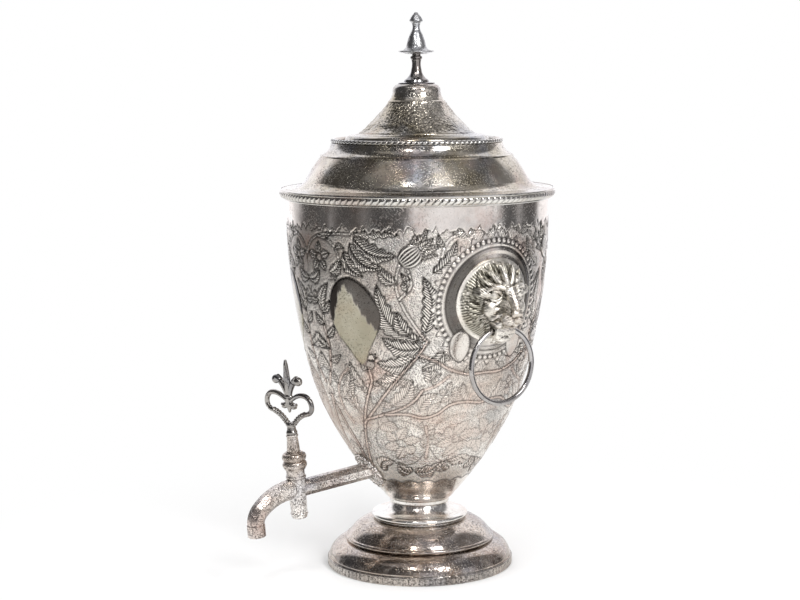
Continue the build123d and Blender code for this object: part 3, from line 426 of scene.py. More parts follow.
# the engraved wall. Angles are degrees round from the tap, heights millimetres above the table; the design of
# one quarter is turned over for the other three
engraving = {
    "lineWidth": 1.1,  # mm, of an outline's cut
    "veinWidth": 0.95,  # of a bud's stripes
    "hatchPitch": 2.3,  # mm between hatching strokes
    "lobePitch": 7.5,  # mm between the lobes of a leaf's edge
    "lineDepth": 0.34,
    "stemWidth": 1.5,
    "leafRise": 0.30,
    "groundSink": 0.10,  # how far the matting lies below the leaves
    "bandLow": 289.0,  # the burnished band under the rim
    "borderRise": 9.5,  # height of the jagged border
    "borderPitch": 5.0,  # degrees
    "bareFoot": 76.0,  # burnished below this
    "cartouche": [(24, 248), (18.5, 245), (14.5, 237), (12.5, 226), (12.5, 214), (15, 203), (20, 192), (27, 179),
                  (32, 192), (36, 204), (38, 214), (37.5, 225), (34, 236), (29.5, 244)],
    # the ragged line on the shield above which the painted dark reflection lies: angles, heights
    "filmLine": ((12, 15, 18, 21, 24, 28, 32, 36, 39), (208, 214, 230, 240, 234, 222, 212, 206, 202)),
    "medallion": (90.0, 229.0),  # middle of the lion's plate
    "medallionRadii": (41.0, 43.5, 53.0),  # burnished ring, raised line, leaf tips
    "beads": 60,
    "beadRow": 46.6,  # mm from the medallion's middle to the beads
    "beadRadius": 2.0,
    "lobe": [(70, 200), (74, 206), (78.5, 202), (79, 190), (75, 181), (70, 188)],  # plain leaf beside the jaw
    "longStems": 7,  # how many of the stems below lie clear over the worn leaves
    # stems: control points, leaf length, leaves' spacing, sides with leaves
    "stems": [
        ([(9, 88), (14, 103), (18, 117), (21, 129)], 0, 0, 0),
        ([(5, 90), (7, 106), (5, 122), (2, 138), (0, 150)], 11, 22, 1),
        ([(20, 125), (24, 141), (28, 155), (31, 166), (30, 176)], 12, 20, 2),
        ([(21, 129), (30, 142), (39, 158), (47, 173), (55, 188), (59, 199)], 15, 25, 2),
        ([(24, 133), (35, 138), (46, 144), (53, 151), (57, 159)], 13, 21, 1),
        ([(36, 138), (48, 139), (57, 136), (65, 139), (72, 146), (80, 148), (90, 146)], 13, 24, 1),
        ([(55, 188), (63, 183), (70, 176), (80, 171), (90, 171)], 13, 25, 1),
        ([(57, 159), (64, 163), (70, 170)], 11, 18, 1),
        ([(12, 128), (8, 140), (8, 154), (12, 166), (18, 174)], 14, 20, 2),
        ([(2, 160), (6, 174), (8, 190), (7, 206), (7, 220), (3, 234)], 15, 18, 2),
        ([(-1, 236), (-1, 250), (0, 264), (4, 275), (11, 280), (19, 281), (28, 281)], 0, 0, 0),
        ([(8, 279), (15, 275), (19, 266), (19, 256), (15, 248)], 10, 13, 1),
        ([(48, 262), (46, 250), (46, 238), (49, 224), (54, 210), (59, 198)], 0, 0, 0),
        ([(47, 232), (52, 242), (51, 254)], 10, 13, 1),
        ([(65, 264), (68, 277), (77, 284), (90, 285)], 10, 13, 1),
        ([(60, 100), (61, 114), (59, 128)], 11, 18, 2),
    ],
    # big feathered leaves: root, tip, bulge sideways, width
    "leaves": [
        ((27, 282), (47, 281), 3, 14), ((27, 279), (46, 265), -6, 17), ((25, 274), (40, 255), -6, 15),
        ((22, 268), (31, 249), -4, 12),
        ((57, 199), (36, 243), 10, 19), ((60, 205), (56, 249), -6, 16), ((52, 204), (45, 222), 3, 12),
        ((57, 194), (38, 201), 5, 16), ((53, 186), (35, 181), 5, 16), ((46, 172), (34, 166), 4, 13),
        ((20, 140), (17, 168), 4, 13), ((3, 150), (-4, 172), 3, 12), ((26, 160), (19, 180), 3, 11),
        ((42, 146), (50, 168), -4, 15), ((30, 136), (44, 126), -3, 14), ((57, 142), (63, 156), 3, 12),
        ((62, 166), (56, 178), -3, 12),
        ((52, 86), (36, 95), 4, 13), ((54, 86), (69, 95), -4, 13), ((86, 86), (72, 97), 4, 12),
        ((20, 86), (33, 96), 4, 12),
        ((10, 104), (16, 122), -3, 11), ((84, 148), (76, 164), 4, 13), ((90, 100), (80, 96), 3, 10),
        ((11, 148), (18, 172), -3, 13), ((6, 190), (-4, 206), 3, 12), ((7, 218), (12, 242), 4, 11),
        ((46, 244), (38, 258), 3, 11),
        ((14, 250), (20, 262), -3, 10), ((64, 208), (66, 222), 2, 8), ((0, 244), (8, 252), -3, 10),
        ((66, 190), (58, 176), 3, 12),
        ((62, 252), (71, 276), -4, 12), ((80, 285), (68, 287), 3, 10),
    ],
    # flowers: middle, radius, petals
    "flowers": [((8, 262), 12.5, 5), ((43, 113), 15, 6), ((80, 116), 16, 6), ((63, 118), 8, 5), ((71, 156), 9, 5)],
    # buds: root, heading in degrees from straight up, length, petals' fan
    "buds": [((49, 261), -52, 30, 56), ((31, 177), -10, 12, 50)],
    # round frames cut as plain lines: middle, radius
    "rounds": [((43, 113), 20.5), ((80, 116), 22.0)],
}


def smoothPath(points, closed=False, step=0.06):
    # a curve through the points, in short pieces
    points = [np.array(p, float) for p in points]
    count = len(points)
    found = []
    for i in range(count if closed else count - 1):
        around = [points[(i + k) % count] if closed else points[min(max(i + k, 0), count - 1)] for k in (-1, 0, 1, 2)]
        for t in np.arange(0, 1, step):
            a, b, c, d = around
            found.append(0.5 * (2 * b + (c - a) * t + (2 * a - 5 * b + 4 * c - d) * t ** 2
                                + (3 * b - a - 3 * c + d) * t ** 3))
    found.append(points[0] if closed else points[-1])
    return np.array(found)


class EngravedQuarter:
    # the wall's first quarter as a grid of angle and height, and the marks made on it

    def __init__(self, columns, rows, profile):
        self.angles = np.linspace(0, 90, columns)
        arc = np.concatenate([[0], np.cumsum(np.hypot(*np.diff(profile, axis=0).T))])
        along = np.linspace(0, arc[-1], rows)
        self.radii = np.interp(along, arc, profile[:, 0])
        self.heights = np.interp(along, arc, profile[:, 1])
        shape = (rows, columns)
        self.rise, self.cut, self.worn = np.zeros(shape), np.zeros(shape), np.zeros(shape)
        self.ground, self.leafy = np.ones(shape), np.zeros(shape)
        self.film, self.green = np.zeros(shape), np.zeros(shape)
        # hatching's count along a leaf, and where it shows
        self.stripe, self.hatched = np.zeros(shape), np.zeros(shape)
        self.widths = np.radians(1) * self.radii / mm  # millimetres to a degree, row by row
        self.levels = self.heights / mm
        self.slant = np.interp(along, arc[1:], 1 / np.clip(np.abs(np.diff(profile[:, 1])) / np.diff(arc), 0.3, 1))

    def flat(self, point):
        # an (angle, height) as millimetres round and up
        return np.array([point[0] * np.interp(point[1], self.levels, self.widths), point[1]])

    def window(self, low, high, margin):
        # the part of the grid near a mark, with each vertex's (angle, height)
        rows = np.where((self.levels > low[1] - margin) & (self.levels < high[1] + margin))[0]
        if not len(rows):
            return None
        width = self.widths[rows].min()
        columns = np.where((self.angles > low[0] - margin / width) & (self.angles < high[0] + margin / width))[0]
        if not len(columns):
            return None
        part = np.s_[rows[0]:rows[-1] + 1, columns[0]:columns[-1] + 1]
        return (part, self.angles[None, part[1]], self.levels[part[0], None],
                self.widths[part[0], None], self.slant[part[0], None])

    def distance(self, path, reach):
        # millimetres from each vertex to a path, and how far along it that is
        found = self.window(path.min(0), path.max(0), reach)
        if found is None:
            return None
        part, angle, level, width, slant = found
        best = np.full((level.shape[0], angle.shape[1]), 1e3)
        along = np.zeros_like(best)
        for i in range(len(path) - 1):
            ax, ay = (angle - path[i][0]) * width, (level - path[i][1]) * slant
            bx, by = (path[i + 1][0] - path[i][0]) * width, (path[i + 1][1] - path[i][1]) * slant
            t = np.clip((ax * bx + ay * by) / (bx * bx + by * by + 1e-9), 0, 1)
            gap = np.hypot(ax - t * bx, ay - t * by)
            near = gap < best
            best = np.where(near, gap, best)
            along = np.where(near, (i + t) / (len(path) - 1), along)
        return part, best, along

    def line(self, path, width, depth, dark=0.85):
        found = self.distance(path, width * 2)
        if found is None:
            return
        part, gap, _ = found
        groove = np.exp(-((gap / (width * 0.6)) ** 2))
        self.rise[part] -= depth * groove
        self.cut[part] = np.maximum(self.cut[part], dark * groove)

    def inside(self, path):
        # which vertices lie inside a closed path
        found = self.window(path.min(0), path.max(0), 1.0)
        if found is None:
            return None
        part, angle, level, _, _ = found
        hit = np.zeros((level.shape[0], angle.shape[1]), bool)
        for i in range(len(path) - 1):
            (ax, ay), (bx, by) = path[i], path[i + 1]
            crosses = (ay > level) != (by > level)
            if ay != by:
                hit ^= crosses & (angle < (bx - ax) * (level - ay) / (by - ay) + ax)
        return part, hit

    def leaf(self, root, tip, bulge, width):
        # a pointed leaf: its ground left smooth, its outline and midrib cut, and its veins hatched
        look = engraving
        a, b = self.flat(root), self.flat(tip)
        scale = np.interp((root[1] + tip[1]) / 2, self.levels, self.widths)
        length = np.hypot(*(b - a))
        if length < 1:
            return
        forward = (b - a) / length
        across = np.array([-forward[1], forward[0]])
        bold = width > 11.5
        lobes = max(2, round(length / (look["lobePitch"] if bold else 3.5)))
        t = np.linspace(0, 1, 6 * lobes + 7)
        spine = a + np.outer(t, b - a) + np.outer(np.sin(np.pi * t) * bulge, across)
        half = width / 2 * np.sin(np.pi * t ** 0.8) ** 0.8
        if length > 9:  # a lobed edge
            half = half * (0.70 + 0.30 * np.abs(np.sin(np.pi * lobes * t)))

        def onWall(points):
            return np.column_stack([points[:, 0] / scale, points[:, 1]])

        leftEdge, rightEdge = onWall(spine + across * half[:, None]), onWall(spine - across * half[:, None])
        outline = np.vstack([leftEdge, rightEdge[::-1]])
        found = self.inside(np.vstack([outline, outline[:1]]))
        if found is not None:
            part, hit = found
            self.ground[part] = np.where(hit, 0.0, self.ground[part])
            self.leafy[part] = np.where(hit, 1.0, self.leafy[part])
            self.cut[part] = np.where(hit, 0.0, self.cut[part])
            # the hatching runs forward from the midrib to both edges
            x, y = self.angles[None, part[1]] * scale - a[0], self.levels[part[0], None] - a[1]
            along, beside = x * forward[0] + y * forward[1], x * across[0] + y * across[1]
            beside = beside - bulge * np.sin(np.pi * np.clip(along / length, 0, 1))
            count = (along - 0.9 * np.abs(beside)) / look["hatchPitch"]
            near = hit.copy()
            near[1:] |= hit[:-1]
            near[:-1] |= hit[1:]
            near[:, 1:] |= hit[:, :-1]
            near[:, :-1] |= hit[:, 1:]
            self.stripe[part] = np.where(near, count, self.stripe[part])
            self.hatched[part] = np.where(hit, 1.0 if bold else 0.75, self.hatched[part] * (1 - near))
        self.line(leftEdge, look["lineWidth"], look["lineDepth"])
        self.line(rightEdge, look["lineWidth"], look["lineDepth"])
        self.line(onWall(spine), look["lineWidth"] * (1.1 if bold else 0.8), look["lineDepth"], 0.85)

    def stem(self, points, leafLength, spacing, sides, seed):
        look = engraving
        path = smoothPath(points)
        found = self.distance(path, 6)
        if found is not None:
            part, gap, _ = found
            body = np.clip(1.4 - gap / (look["stemWidth"] / 2), 0, 1)
            edge = np.exp(-(((gap - look["stemWidth"] * 0.85) / 0.5) ** 2))
            self.ground[part] = np.minimum(self.ground[part], 1 - body)
            self.leafy[part] = np.maximum(self.leafy[part], body)
            self.worn[part] = np.maximum(self.worn[part], 0.8 * np.exp(-((gap / 1.6) ** 2))
                                         * np.interp(self.levels[part[0], None], (190, 215), (1, 0)))
            self.cut[part] = np.maximum(self.cut[part] * (1 - body), 0.8 * edge)
            self.rise[part] -= look["lineDepth"] * 0.8 * edge
        if not sides:
            return
        # small leaves, turn about, that grow smaller towards the tip
        flat = np.array([self.flat(p) for p in path])
        travel = np.concatenate([[0], np.cumsum(np.hypot(*np.diff(flat, axis=0).T))])
        chance = np.random.default_rng(seed)
        place, side = spacing * 0.6, 1
        while place < travel[-1]:
            i = min(int(np.searchsorted(travel, place)), len(path) - 2)
            forward = flat[i + 1] - flat[i]
            forward = forward / (np.hypot(*forward) + 1e-9)
            out = np.array([-forward[1], forward[0]]) * side
            length = leafLength * (1.05 - 0.35 * place / travel[-1]) * chance.uniform(0.85, 1.15)
            tip = flat[i] + (forward * 0.62 + out * 0.78) * length
            scale = np.interp(path[i][1], self.levels, self.widths)
            root = (path[i][0], path[i][1])
            self.leaf(root, (tip[0] / scale, tip[1]), 1.6 * side, length * 0.48)
            if sides == 2:
                side = -side
            place += spacing * (0.55 if sides == 2 else 0.9)
        end = path[-1]
        self.curl(end, path[-1] - path[-2], leafLength * 0.35)

    def curl(self, middle, heading, size):
        scale = np.interp(middle[1], self.levels, self.widths)
        start = math.atan2(heading[1], heading[0] * scale)
        turns = [(middle[0] + math.cos(start + w) * size * (1 - w / 7.5) / scale,
                  middle[1] + math.sin(start + w) * size * (1 - w / 7.5))
                 for w in np.linspace(0, 6, 16)]
        self.line(np.array(turns), engraving["lineWidth"], engraving["lineDepth"], 0.7)

    def flower(self, middle, radius, petals):
        scale = np.interp(middle[1], self.levels, self.widths)
        for k in range(petals):
            turn = 2 * math.pi * k / petals + 0.3
            root = (middle[0] + math.cos(turn) * radius * 0.22 / scale, middle[1] + math.sin(turn) * radius * 0.22)
            tip = (middle[0] + math.cos(turn) * radius / scale, middle[1] + math.sin(turn) * radius)
            self.leaf(root, tip, 0.6, radius * 0.62)
        ring = np.array([(middle[0] + math.cos(w) * radius * 0.24 / scale, middle[1] + math.sin(w) * radius * 0.24)
                         for w in np.linspace(0, 2 * math.pi, 13)])
        self.line(ring, engraving["lineWidth"], engraving["lineDepth"])

    def bud(self, root, heading, length, fan):
        # a bulb of long striped petals that fan out at the tip
        scale = np.interp(root[1], self.levels, self.widths)
        for spread, reach in ((-1, 0.86), (1, 0.86), (-0.55, 1.0), (0.55, 1.0), (0, 0.94)):
            lean = math.radians(heading + spread * fan / 2)
            tip = (root[0] - math.sin(lean) * length * reach / scale, root[1] + math.cos(lean) * length * reach)
            self.leaf(root, tip, -3.2 * spread, length * 0.36)
        # the bulb, striped from foot to crown
        foot = math.radians(heading)
        size = length * 0.33
        heart = self.flat(root) + np.array([-math.sin(foot), math.cos(foot)]) * length * 0.22
        turns = np.linspace(0, 2 * math.pi, 25)
        across, along = np.array([math.cos(foot), math.sin(foot)]), np.array([-math.sin(foot), math.cos(foot)])
        ring = heart + np.outer(np.cos(turns) * size * 0.85, across) + np.outer(np.sin(turns) * size, along)
        ring[:, 0] /= scale
        found = self.inside(ring)
        if found is not None:
            part, hit = found
            for marks, value in ((self.ground, 0.0), (self.cut, 0.0), (self.leafy, 1.0), (self.hatched, 0.0)):
                marks[part] = np.where(hit, value, marks[part])
            self.rise[part] = np.where(hit, 0.25, self.rise[part])
        self.line(ring, engraving["lineWidth"], engraving["lineDepth"])
        for bow in (-0.62, -0.3, 0, 0.3, 0.62):
            stripe = (heart + np.outer(np.sin(turns[:13]) * size * 0.85 * bow, across)
                      + np.outer(-np.cos(turns[:13]) * size, along))
            stripe[:, 0] /= scale
            self.line(stripe, engraving["veinWidth"], engraving["lineDepth"], 0.8)

    def burnish(self, path, outline=0.85):
        # a smooth field inside a cut outline
        found = self.inside(path)
        if found is not None:
            part, hit = found
            for marks in (self.ground, self.cut, self.rise, self.worn, self.leafy, self.hatched):
                marks[part] = np.where(hit, 0.0, marks[part])
        self.line(path, engraving["lineWidth"], engraving["lineDepth"], outline)


def engraveWall(profile, columns, rows):
    look = engraving
    wall = EngravedQuarter(columns, rows, profile)
    for seed, (points, leafLength, spacing, sides) in enumerate(look["stems"]):
        wall.stem(points, leafLength, spacing, sides, seed)
    for root, tip, bulge, width in look["leaves"]:
        wall.leaf(root, tip, bulge, width)
    for middle, radius, petals in look["flowers"]:
        wall.flower(middle, radius, petals)
    for root, heading, length, fan in look["buds"]:
        wall.bud(root, heading, length, fan)
    for (a, z), radius in look["rounds"]:
        scale = np.interp(z, wall.levels, wall.widths)
        turns = np.linspace(0, 2 * math.pi, 40)
        wall.line(np.column_stack([a + np.cos(turns) * radius / scale, z + np.sin(turns) * radius]),
                  look["lineWidth"], look["lineDepth"])
    # bold near the rim, worn faint lower down and beside the lion
    angle, level = wall.angles[None, :], wall.levels[:, None]
    fresh = np.interp(level, (88, 104, 140, 200), (0.95, 0.45, 0.42, 1.05)) * np.interp(angle, (58, 80), (1.0, 0.72))
    wall.cut *= fresh
    for points, *_ in look["stems"][:look["longStems"]]:
        wall.stem(points, 0, 0, 0, 0)
    wall.hatched *= (np.interp(level, (88, 104, 140, 200), (0.9, 0.3, 0.3, 1.0))
                     * np.interp(angle, (58, 80), (1.0, 0.85)))
    wall.rise *= 1.6 * fresh
    wall.ground *= 0.45 + 0.4 * fresh
    wall.worn = np.maximum(wall.worn, 0.4 * wall.leafy * np.interp(level, (150, 195), (1.0, 0.0)))
    # the jagged border hangs the design from the burnished band
    pitch, rise, low = look["borderPitch"], look["borderRise"], look["bandLow"]
    tooth = np.abs(((angle / pitch + 0.18 * np.sin(np.radians(angle * 23))) % 1) - 0.5) * 2
    jag = (low - rise * (0.3 + 0.5 * tooth) + 1.3 * np.sin(np.radians(angle * 37))
           + 0.7 * np.sin(np.radians(angle * 151)))
    above = np.clip((level - jag) / 0.8, 0, 1)
    for marks in (wall.ground, wall.leafy, wall.hatched, wall.cut, wall.worn, wall.rise):
        marks *= 1 - above
    edge = np.exp(-(((level - jag) / 0.8) ** 2))
    wall.cut = np.maximum(wall.cut, 0.8 * edge)
    wall.rise -= look["lineDepth"] * edge
    # the lion's medallion: burnished ring, raised line and leaf tips
    width = wall.widths[:, None]
    dx, dy = (angle - look["medallion"][0]) * width, (level - look["medallion"][1]) * wall.slant[:, None]
    out, around = np.hypot(dx, dy), np.arctan2(dy, dx)
    inner, line, tips = look["medallionRadii"]
    petal = np.abs(((around / (2 * math.pi) * look["beads"] / 2) % 1) - 0.5) * 2
    reach = tips - (tips - line) * petal ** 1.6
    field = out < reach
    for marks in (wall.ground, wall.cut, wall.worn, wall.rise, wall.leafy, wall.hatched):
        marks[field] = 0
    wall.cut = np.maximum(wall.cut, 0.85 * np.exp(-(((out - reach) / 0.75) ** 2)))
    wall.rise -= look["lineDepth"] * np.exp(-(((out - reach) / 0.75) ** 2))
    wall.cut = np.maximum(wall.cut, 0.8 * np.exp(-(((out - inner) / 0.6) ** 2)))
    wall.rise += 0.5 * np.exp(-(((out - inner + 2.2) / 1.6) ** 2))
    # a row of round beads outside a raised line, dark behind
    beside = (around / (2 * math.pi) * look["beads"] % 1 - 0.5) * 2 * math.pi * look["beadRow"] / look["beads"]
    off = np.hypot(beside, out - look["beadRow"])
    band = np.clip(1.6 - np.abs(out - look["beadRow"]) / 2.2, 0, 1)
    bead = np.clip((look["beadRadius"] - off) / 0.8, 0, 1)
    for marks in (wall.ground, wall.worn, wall.rise, wall.leafy, wall.cut, wall.hatched):
        marks *= 1 - band
    wall.cut = np.maximum(wall.cut, 0.9 * band * (1 - bead))
    wall.leafy = np.maximum(wall.leafy, 0.3 * band * bead)
    wall.rise += band * (0.55 * bead - 0.2)
    wall.rise += 0.35 * np.exp(-(((out - line) / 0.9) ** 2))
    # painted dark reflection: a band round the lion's plate, darkest on the tap's side, for the dark room that the
    # burnished ring mirrors there
    wall.film += np.exp(-(((out - 37.0) / 5.8) ** 6)) * np.clip(1.5 * np.cos(around - math.pi * 1.02) + 0.05, 0, 0.88)
    shield = smoothPath(look["cartouche"], closed=True)
    wall.burnish(shield, 0.25)
    wall.line(smoothPath(look["cartouche"][-5:] + look["cartouche"][:6]), look["lineWidth"], look["lineDepth"], 0.7)
    # the shield's burnished face: a painted reflection of the dark room, black above a ragged slanting line, and
    # yellow-green below it
    part, hit = wall.inside(shield)
    a, z = wall.angles[None, part[1]], wall.levels[part[0], None]
    turnLine = np.interp(a, look["filmLine"][0], look["filmLine"][1]) + 1.1 * np.sin(a * 2.1) + 0.5 * np.sin(a * 5.3)
    steep = np.gradient(turnLine, axis=1) / (np.gradient(wall.angles)[0] * np.mean(wall.widths[part[0]]))
    side = (z - turnLine) / (1.6 * np.sqrt(1 + steep ** 2))
    wall.film[part] = np.where(hit, np.clip(side, 0, 1) * 0.85, wall.film[part])
    wall.green[part] = np.where(hit, np.clip(1 - side, 0, 1) * 0.9, wall.green[part])
    lobe = smoothPath(look["lobe"], closed=True)
    wall.burnish(lobe)
    # the plain leaf beside the jaw, evenly darker all over
    part, hit = wall.inside(lobe)
    wall.film[part] = np.where(hit, 0.22, wall.film[part])
    # a painted dark reflection of the room high up on the tap's side
    wall.film += 0.42 * np.clip((level - 175) / 60, 0, 1) * np.clip((24 - angle) / 18, 0, 1) * (1 - above)
    # burnished foot with a scalloped edge
    scallop = look["bareFoot"] + 2.2 * np.abs(np.sin(np.radians(angle * 10)))
    below = np.clip((scallop - level) / 0.8, 0, 1)
    for marks in (wall.ground, wall.cut, wall.worn, wall.rise, wall.leafy, wall.hatched):
        marks *= 1 - below
    edge = np.exp(-(((level - scallop) / 0.7) ** 2))
    wall.cut = np.maximum(wall.cut, 0.75 * edge)
    wall.rise += look["leafRise"] * wall.leafy * 0.5 - look["groundSink"] * wall.ground
    return wall


def engravedBowl():
    profile = lathePoints("body_shell", 2 * mm)
    columns, rows = ((250, 372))
    wall = engraveWall(profile, columns, rows)
    slope = np.gradient(wall.radii) / np.hypot(np.gradient(wall.heights), np.gradient(wall.radii))
    lean = np.gradient(wall.heights) / np.hypot(np.gradient(wall.heights), np.gradient(wall.radii))
    quarters = (("wall_front_right", 0, 1), ("wall_front_left", 0, -1), ("wall_back_right", 180, -1),
                ("wall_back_left", 180, 1))
    for name, start, way in quarters:
        turn = np.radians(start + way * wall.angles)[None, :]
        radius = wall.radii[:, None] + wall.rise * mm * lean[:, None]
        height = wall.heights[:, None] - wall.rise * mm * slope[:, None]
        points = np.stack([radius * np.sin(turn), -radius * np.cos(turn), height], -1)
        piece = meshFromGrid(name, points, materials["engravedSilver"], flip=way < 0,
                             marks={"cut": wall.cut, "worn": wall.worn, "ground": wall.ground, "film": wall.film,
                                    "green": wall.green, "leafy": wall.leafy,
                                    "stripe": wall.stripe, "hatched": wall.hatched})
        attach(piece, "urn")
        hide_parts("body_shell")
        unwrapGrid(piece)
        # the same normals on both sides of a join between quarters
        matchSeams(piece, turn)
    return wall


def unwrapGrid(piece):
    # a plain map over a grid piece, used when its finish is baked
    rows, columns = piece["gridRows"], piece["gridColumns"]
    mesh = piece.data
    corner = np.zeros(len(mesh.loops), dtype=np.int32)
    mesh.loops.foreach_get("vertex_index", corner)
    row, column = corner // columns, corner % columns
    layer = mesh.uv_layers.new(name="OFBake")
    layer.data.foreach_set("uv",
                           np.column_stack([column / (columns - 1), row / (rows - 1)]).reshape(-1).astype(np.float32))


def matchSeams(piece, turn):
    # along both side edges the normals lose what leans over the join
    rows, columns = piece["gridRows"], piece["gridColumns"]
    mesh = piece.data
    normals = np.zeros(rows * columns * 3, dtype=np.float32)
    mesh.vertex_normals.foreach_get("vector", normals)
    normals = normals.reshape(rows, columns, 3)
    for edge in (0, columns - 1):
        outward = np.array([math.sin(turn[0, edge]), -math.cos(turn[0, edge]), 0])
        sideways = np.array([-outward[1], outward[0], 0])
        normals[:, edge] -= (normals[:, edge] @ sideways)[:, None] * sideways
        normals[:, edge] /= np.linalg.norm(normals[:, edge], axis=1)[:, None]
    mesh.normals_split_custom_set_from_vertices(normals.reshape(-1, 3).tolist())


wall = engravedBowl()
print("wall engraved:", wall.cut.shape)


def liningSkin(name, outline, steps):
    # a turned skin from (radius, height) points
    outline = np.array(outline)
    turn = np.linspace(0, 2 * math.pi, steps, endpoint=False)
    points = np.stack([np.outer(outline[:, 0], np.cos(turn)), np.outer(outline[:, 0], np.sin(turn)),
                       np.repeat(outline[:, 1][:, None], steps, 1)], -1)
    piece = meshFromGrid(name, points, materials["brightSilver"], closed=(False, True))
    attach(piece, "urn")
    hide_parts("body_shell")


# the bowl's inside, a wall's thickness in, from the lip down to the hole for the bolt
bowlWall = 1.5 * mm
outside = lathePoints("body_shell", 2 * mm)
lining = [(r - bowlWall, h) for r, h in outside[::-1] if h > outside[0][1] + bowlWall]
lip = [(outside[-1][0], outside[-1][1])]
boltHole = [(4 * mm, outside[0][1] + bowlWall)]
liningSkin("bowl_lining", lip + lining + boltHole, 160)
print("bowl lined")


# the worn relief on the foot band: a row of small leaves between two lines
footRelief = {
    "leaves": 112,
    "depth": 0.5,  # mm
    "low": 0.7,
    "high": 6.9,  # mm above the table
    "wear": 0.55,  # how much of it is rubbed away in places
}


def makeFootRelief(look):
    reach = np.hypot(*np.array([v.co[:2] for v in nodes["foot_band"].data.vertices]).T).max() / mm
    rows, columns = 14, look["leaves"] * 10
    turn = np.linspace(0, 2 * math.pi, columns, endpoint=False)[None, :]
    up = np.linspace(0, 1, rows)[:, None]
    beside = np.abs((turn * look["leaves"] / (2 * math.pi)) % 1 - 0.5) * 2
    lean = 0.22 * np.sin(turn * look["leaves"] / 2)  # every second leaf leans the other way
    beside = np.clip(np.abs(beside - lean * (up - 0.4) * 2), 0, 1)
    leaf = np.clip(1.15 - beside - 0.9 * (2 * np.abs(up - 0.45)) ** 2, 0, 1) ** 0.6
    vein = np.exp(-((beside / 0.12) ** 2)) * np.clip(1 - 2.4 * np.abs(up - 0.45), 0, 1)
    lines = np.exp(-(((up - 0.93) / 0.07) ** 2)) + np.exp(-(((up - 0.04) / 0.06) ** 2))
    wear = 1 - look["wear"] * np.clip(0.5 + 0.5 * np.sin(turn * 5 + 1) + 0.4 * np.sin(turn * 13), 0, 1)
    rise = np.clip(leaf - 0.5 * vein + lines, 0, 1) * wear
    rise[0] = rise[-1] = -0.2
    radius = (reach + 0.02 + look["depth"] * rise) * mm
    height = (look["low"] + (look["high"] - look["low"]) * up + 0 * turn) * mm
    points = np.stack([radius * np.cos(turn), radius * np.sin(turn), height], -1)
    piece = meshFromGrid("foot_relief", points, materials["bandSilver"], closed=(False, True),
                         marks={"cut": 0.75 * np.clip(1 - 1.7 * rise, 0, 1) * (0.5 + 0.5 * wear)})
    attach(piece, "urn")


makeFootRelief(footRelief)
print("foot band cut")

# the roped borders: a bead cut by slanting notches that hold the dirt
# sizes in mm, lean in degrees; without a height the bead sits at the middle height of the CAD piece it replaces
ropes = {
    "rim_rope": {"body": "urn", "radius": 109.1, "height": 306.15, "long": 3.15, "thick": 2.1, "lean": 27.8,
                 "turns": 132},
    "lid_rope": {"body": "lid", "radius": 67.75, "height": None, "long": 1.8, "thick": 1.75, "lean": 0, "turns": 96},
}
ropeNotch = {"slant": 0.28, "width": 0.13, "depth": 0.42}  # in strands, strands, share of the bead's thickness


def makeRope(node, look, notch):
    levels = np.array([(nodes[node].matrix_world @ v.co)[2] for v in nodes[node].data.vertices]) / mm
    middle = look["height"] or (levels.min() + levels.max()) / 2
    turn = np.linspace(0, 2 * math.pi, look["turns"] * 14, endpoint=False)[None, :]
    w = np.linspace(0, 2 * math.pi, 22, endpoint=False)[:, None]  # round the bead, from its outermost line
    strand = (turn * look["turns"] / (2 * math.pi) - notch["slant"] * np.sin(w)) % 1
    notched = np.exp(-(((strand - 0.5) / notch["width"]) ** 2)) * np.clip(2.2 * np.cos(w - 0.15) - 0.5, 0, 1)
    size = 1 - 0.07 * (1 - np.sin(math.pi * ((strand + 0.5) % 1))) - notch["depth"] * notched
    tilt = math.radians(look["lean"])
    outward = look["thick"] * np.cos(w) * np.where(np.cos(w) > 0, size, 1)
    along = look["long"] * np.sin(w) * (0.92 + 0.08 * size)
    radius = (look["radius"] + outward * math.cos(tilt) + along * math.sin(tilt)) * mm
    height = (middle - outward * math.sin(tilt) + along * math.cos(tilt)) * mm
    points = np.stack([radius * np.cos(turn), radius * np.sin(turn), height + 0 * turn], -1)
    piece = meshFromGrid(node + "_cut", points, materials["brightSilver"], closed=(True, True),
                         marks={"cut": 0.65 * notched})
    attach(piece, look["body"])
    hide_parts(node)


for node, rope in ropes.items():
    makeRope(node, rope, ropeNotch)
print("ropes cut:", ", ".join(ropes))

# worn leaves chased round the crown's flare, with beads between their tips
crownLeaves = {
    "leaves": 8,
    "low": 354.2,  # mm above the table
    "high": 380.5,
    "depth": 0.6,  # how far the leaves stand proud, mm
    "ribs": 12,  # along each leaf
    "wear": 0.8,
}


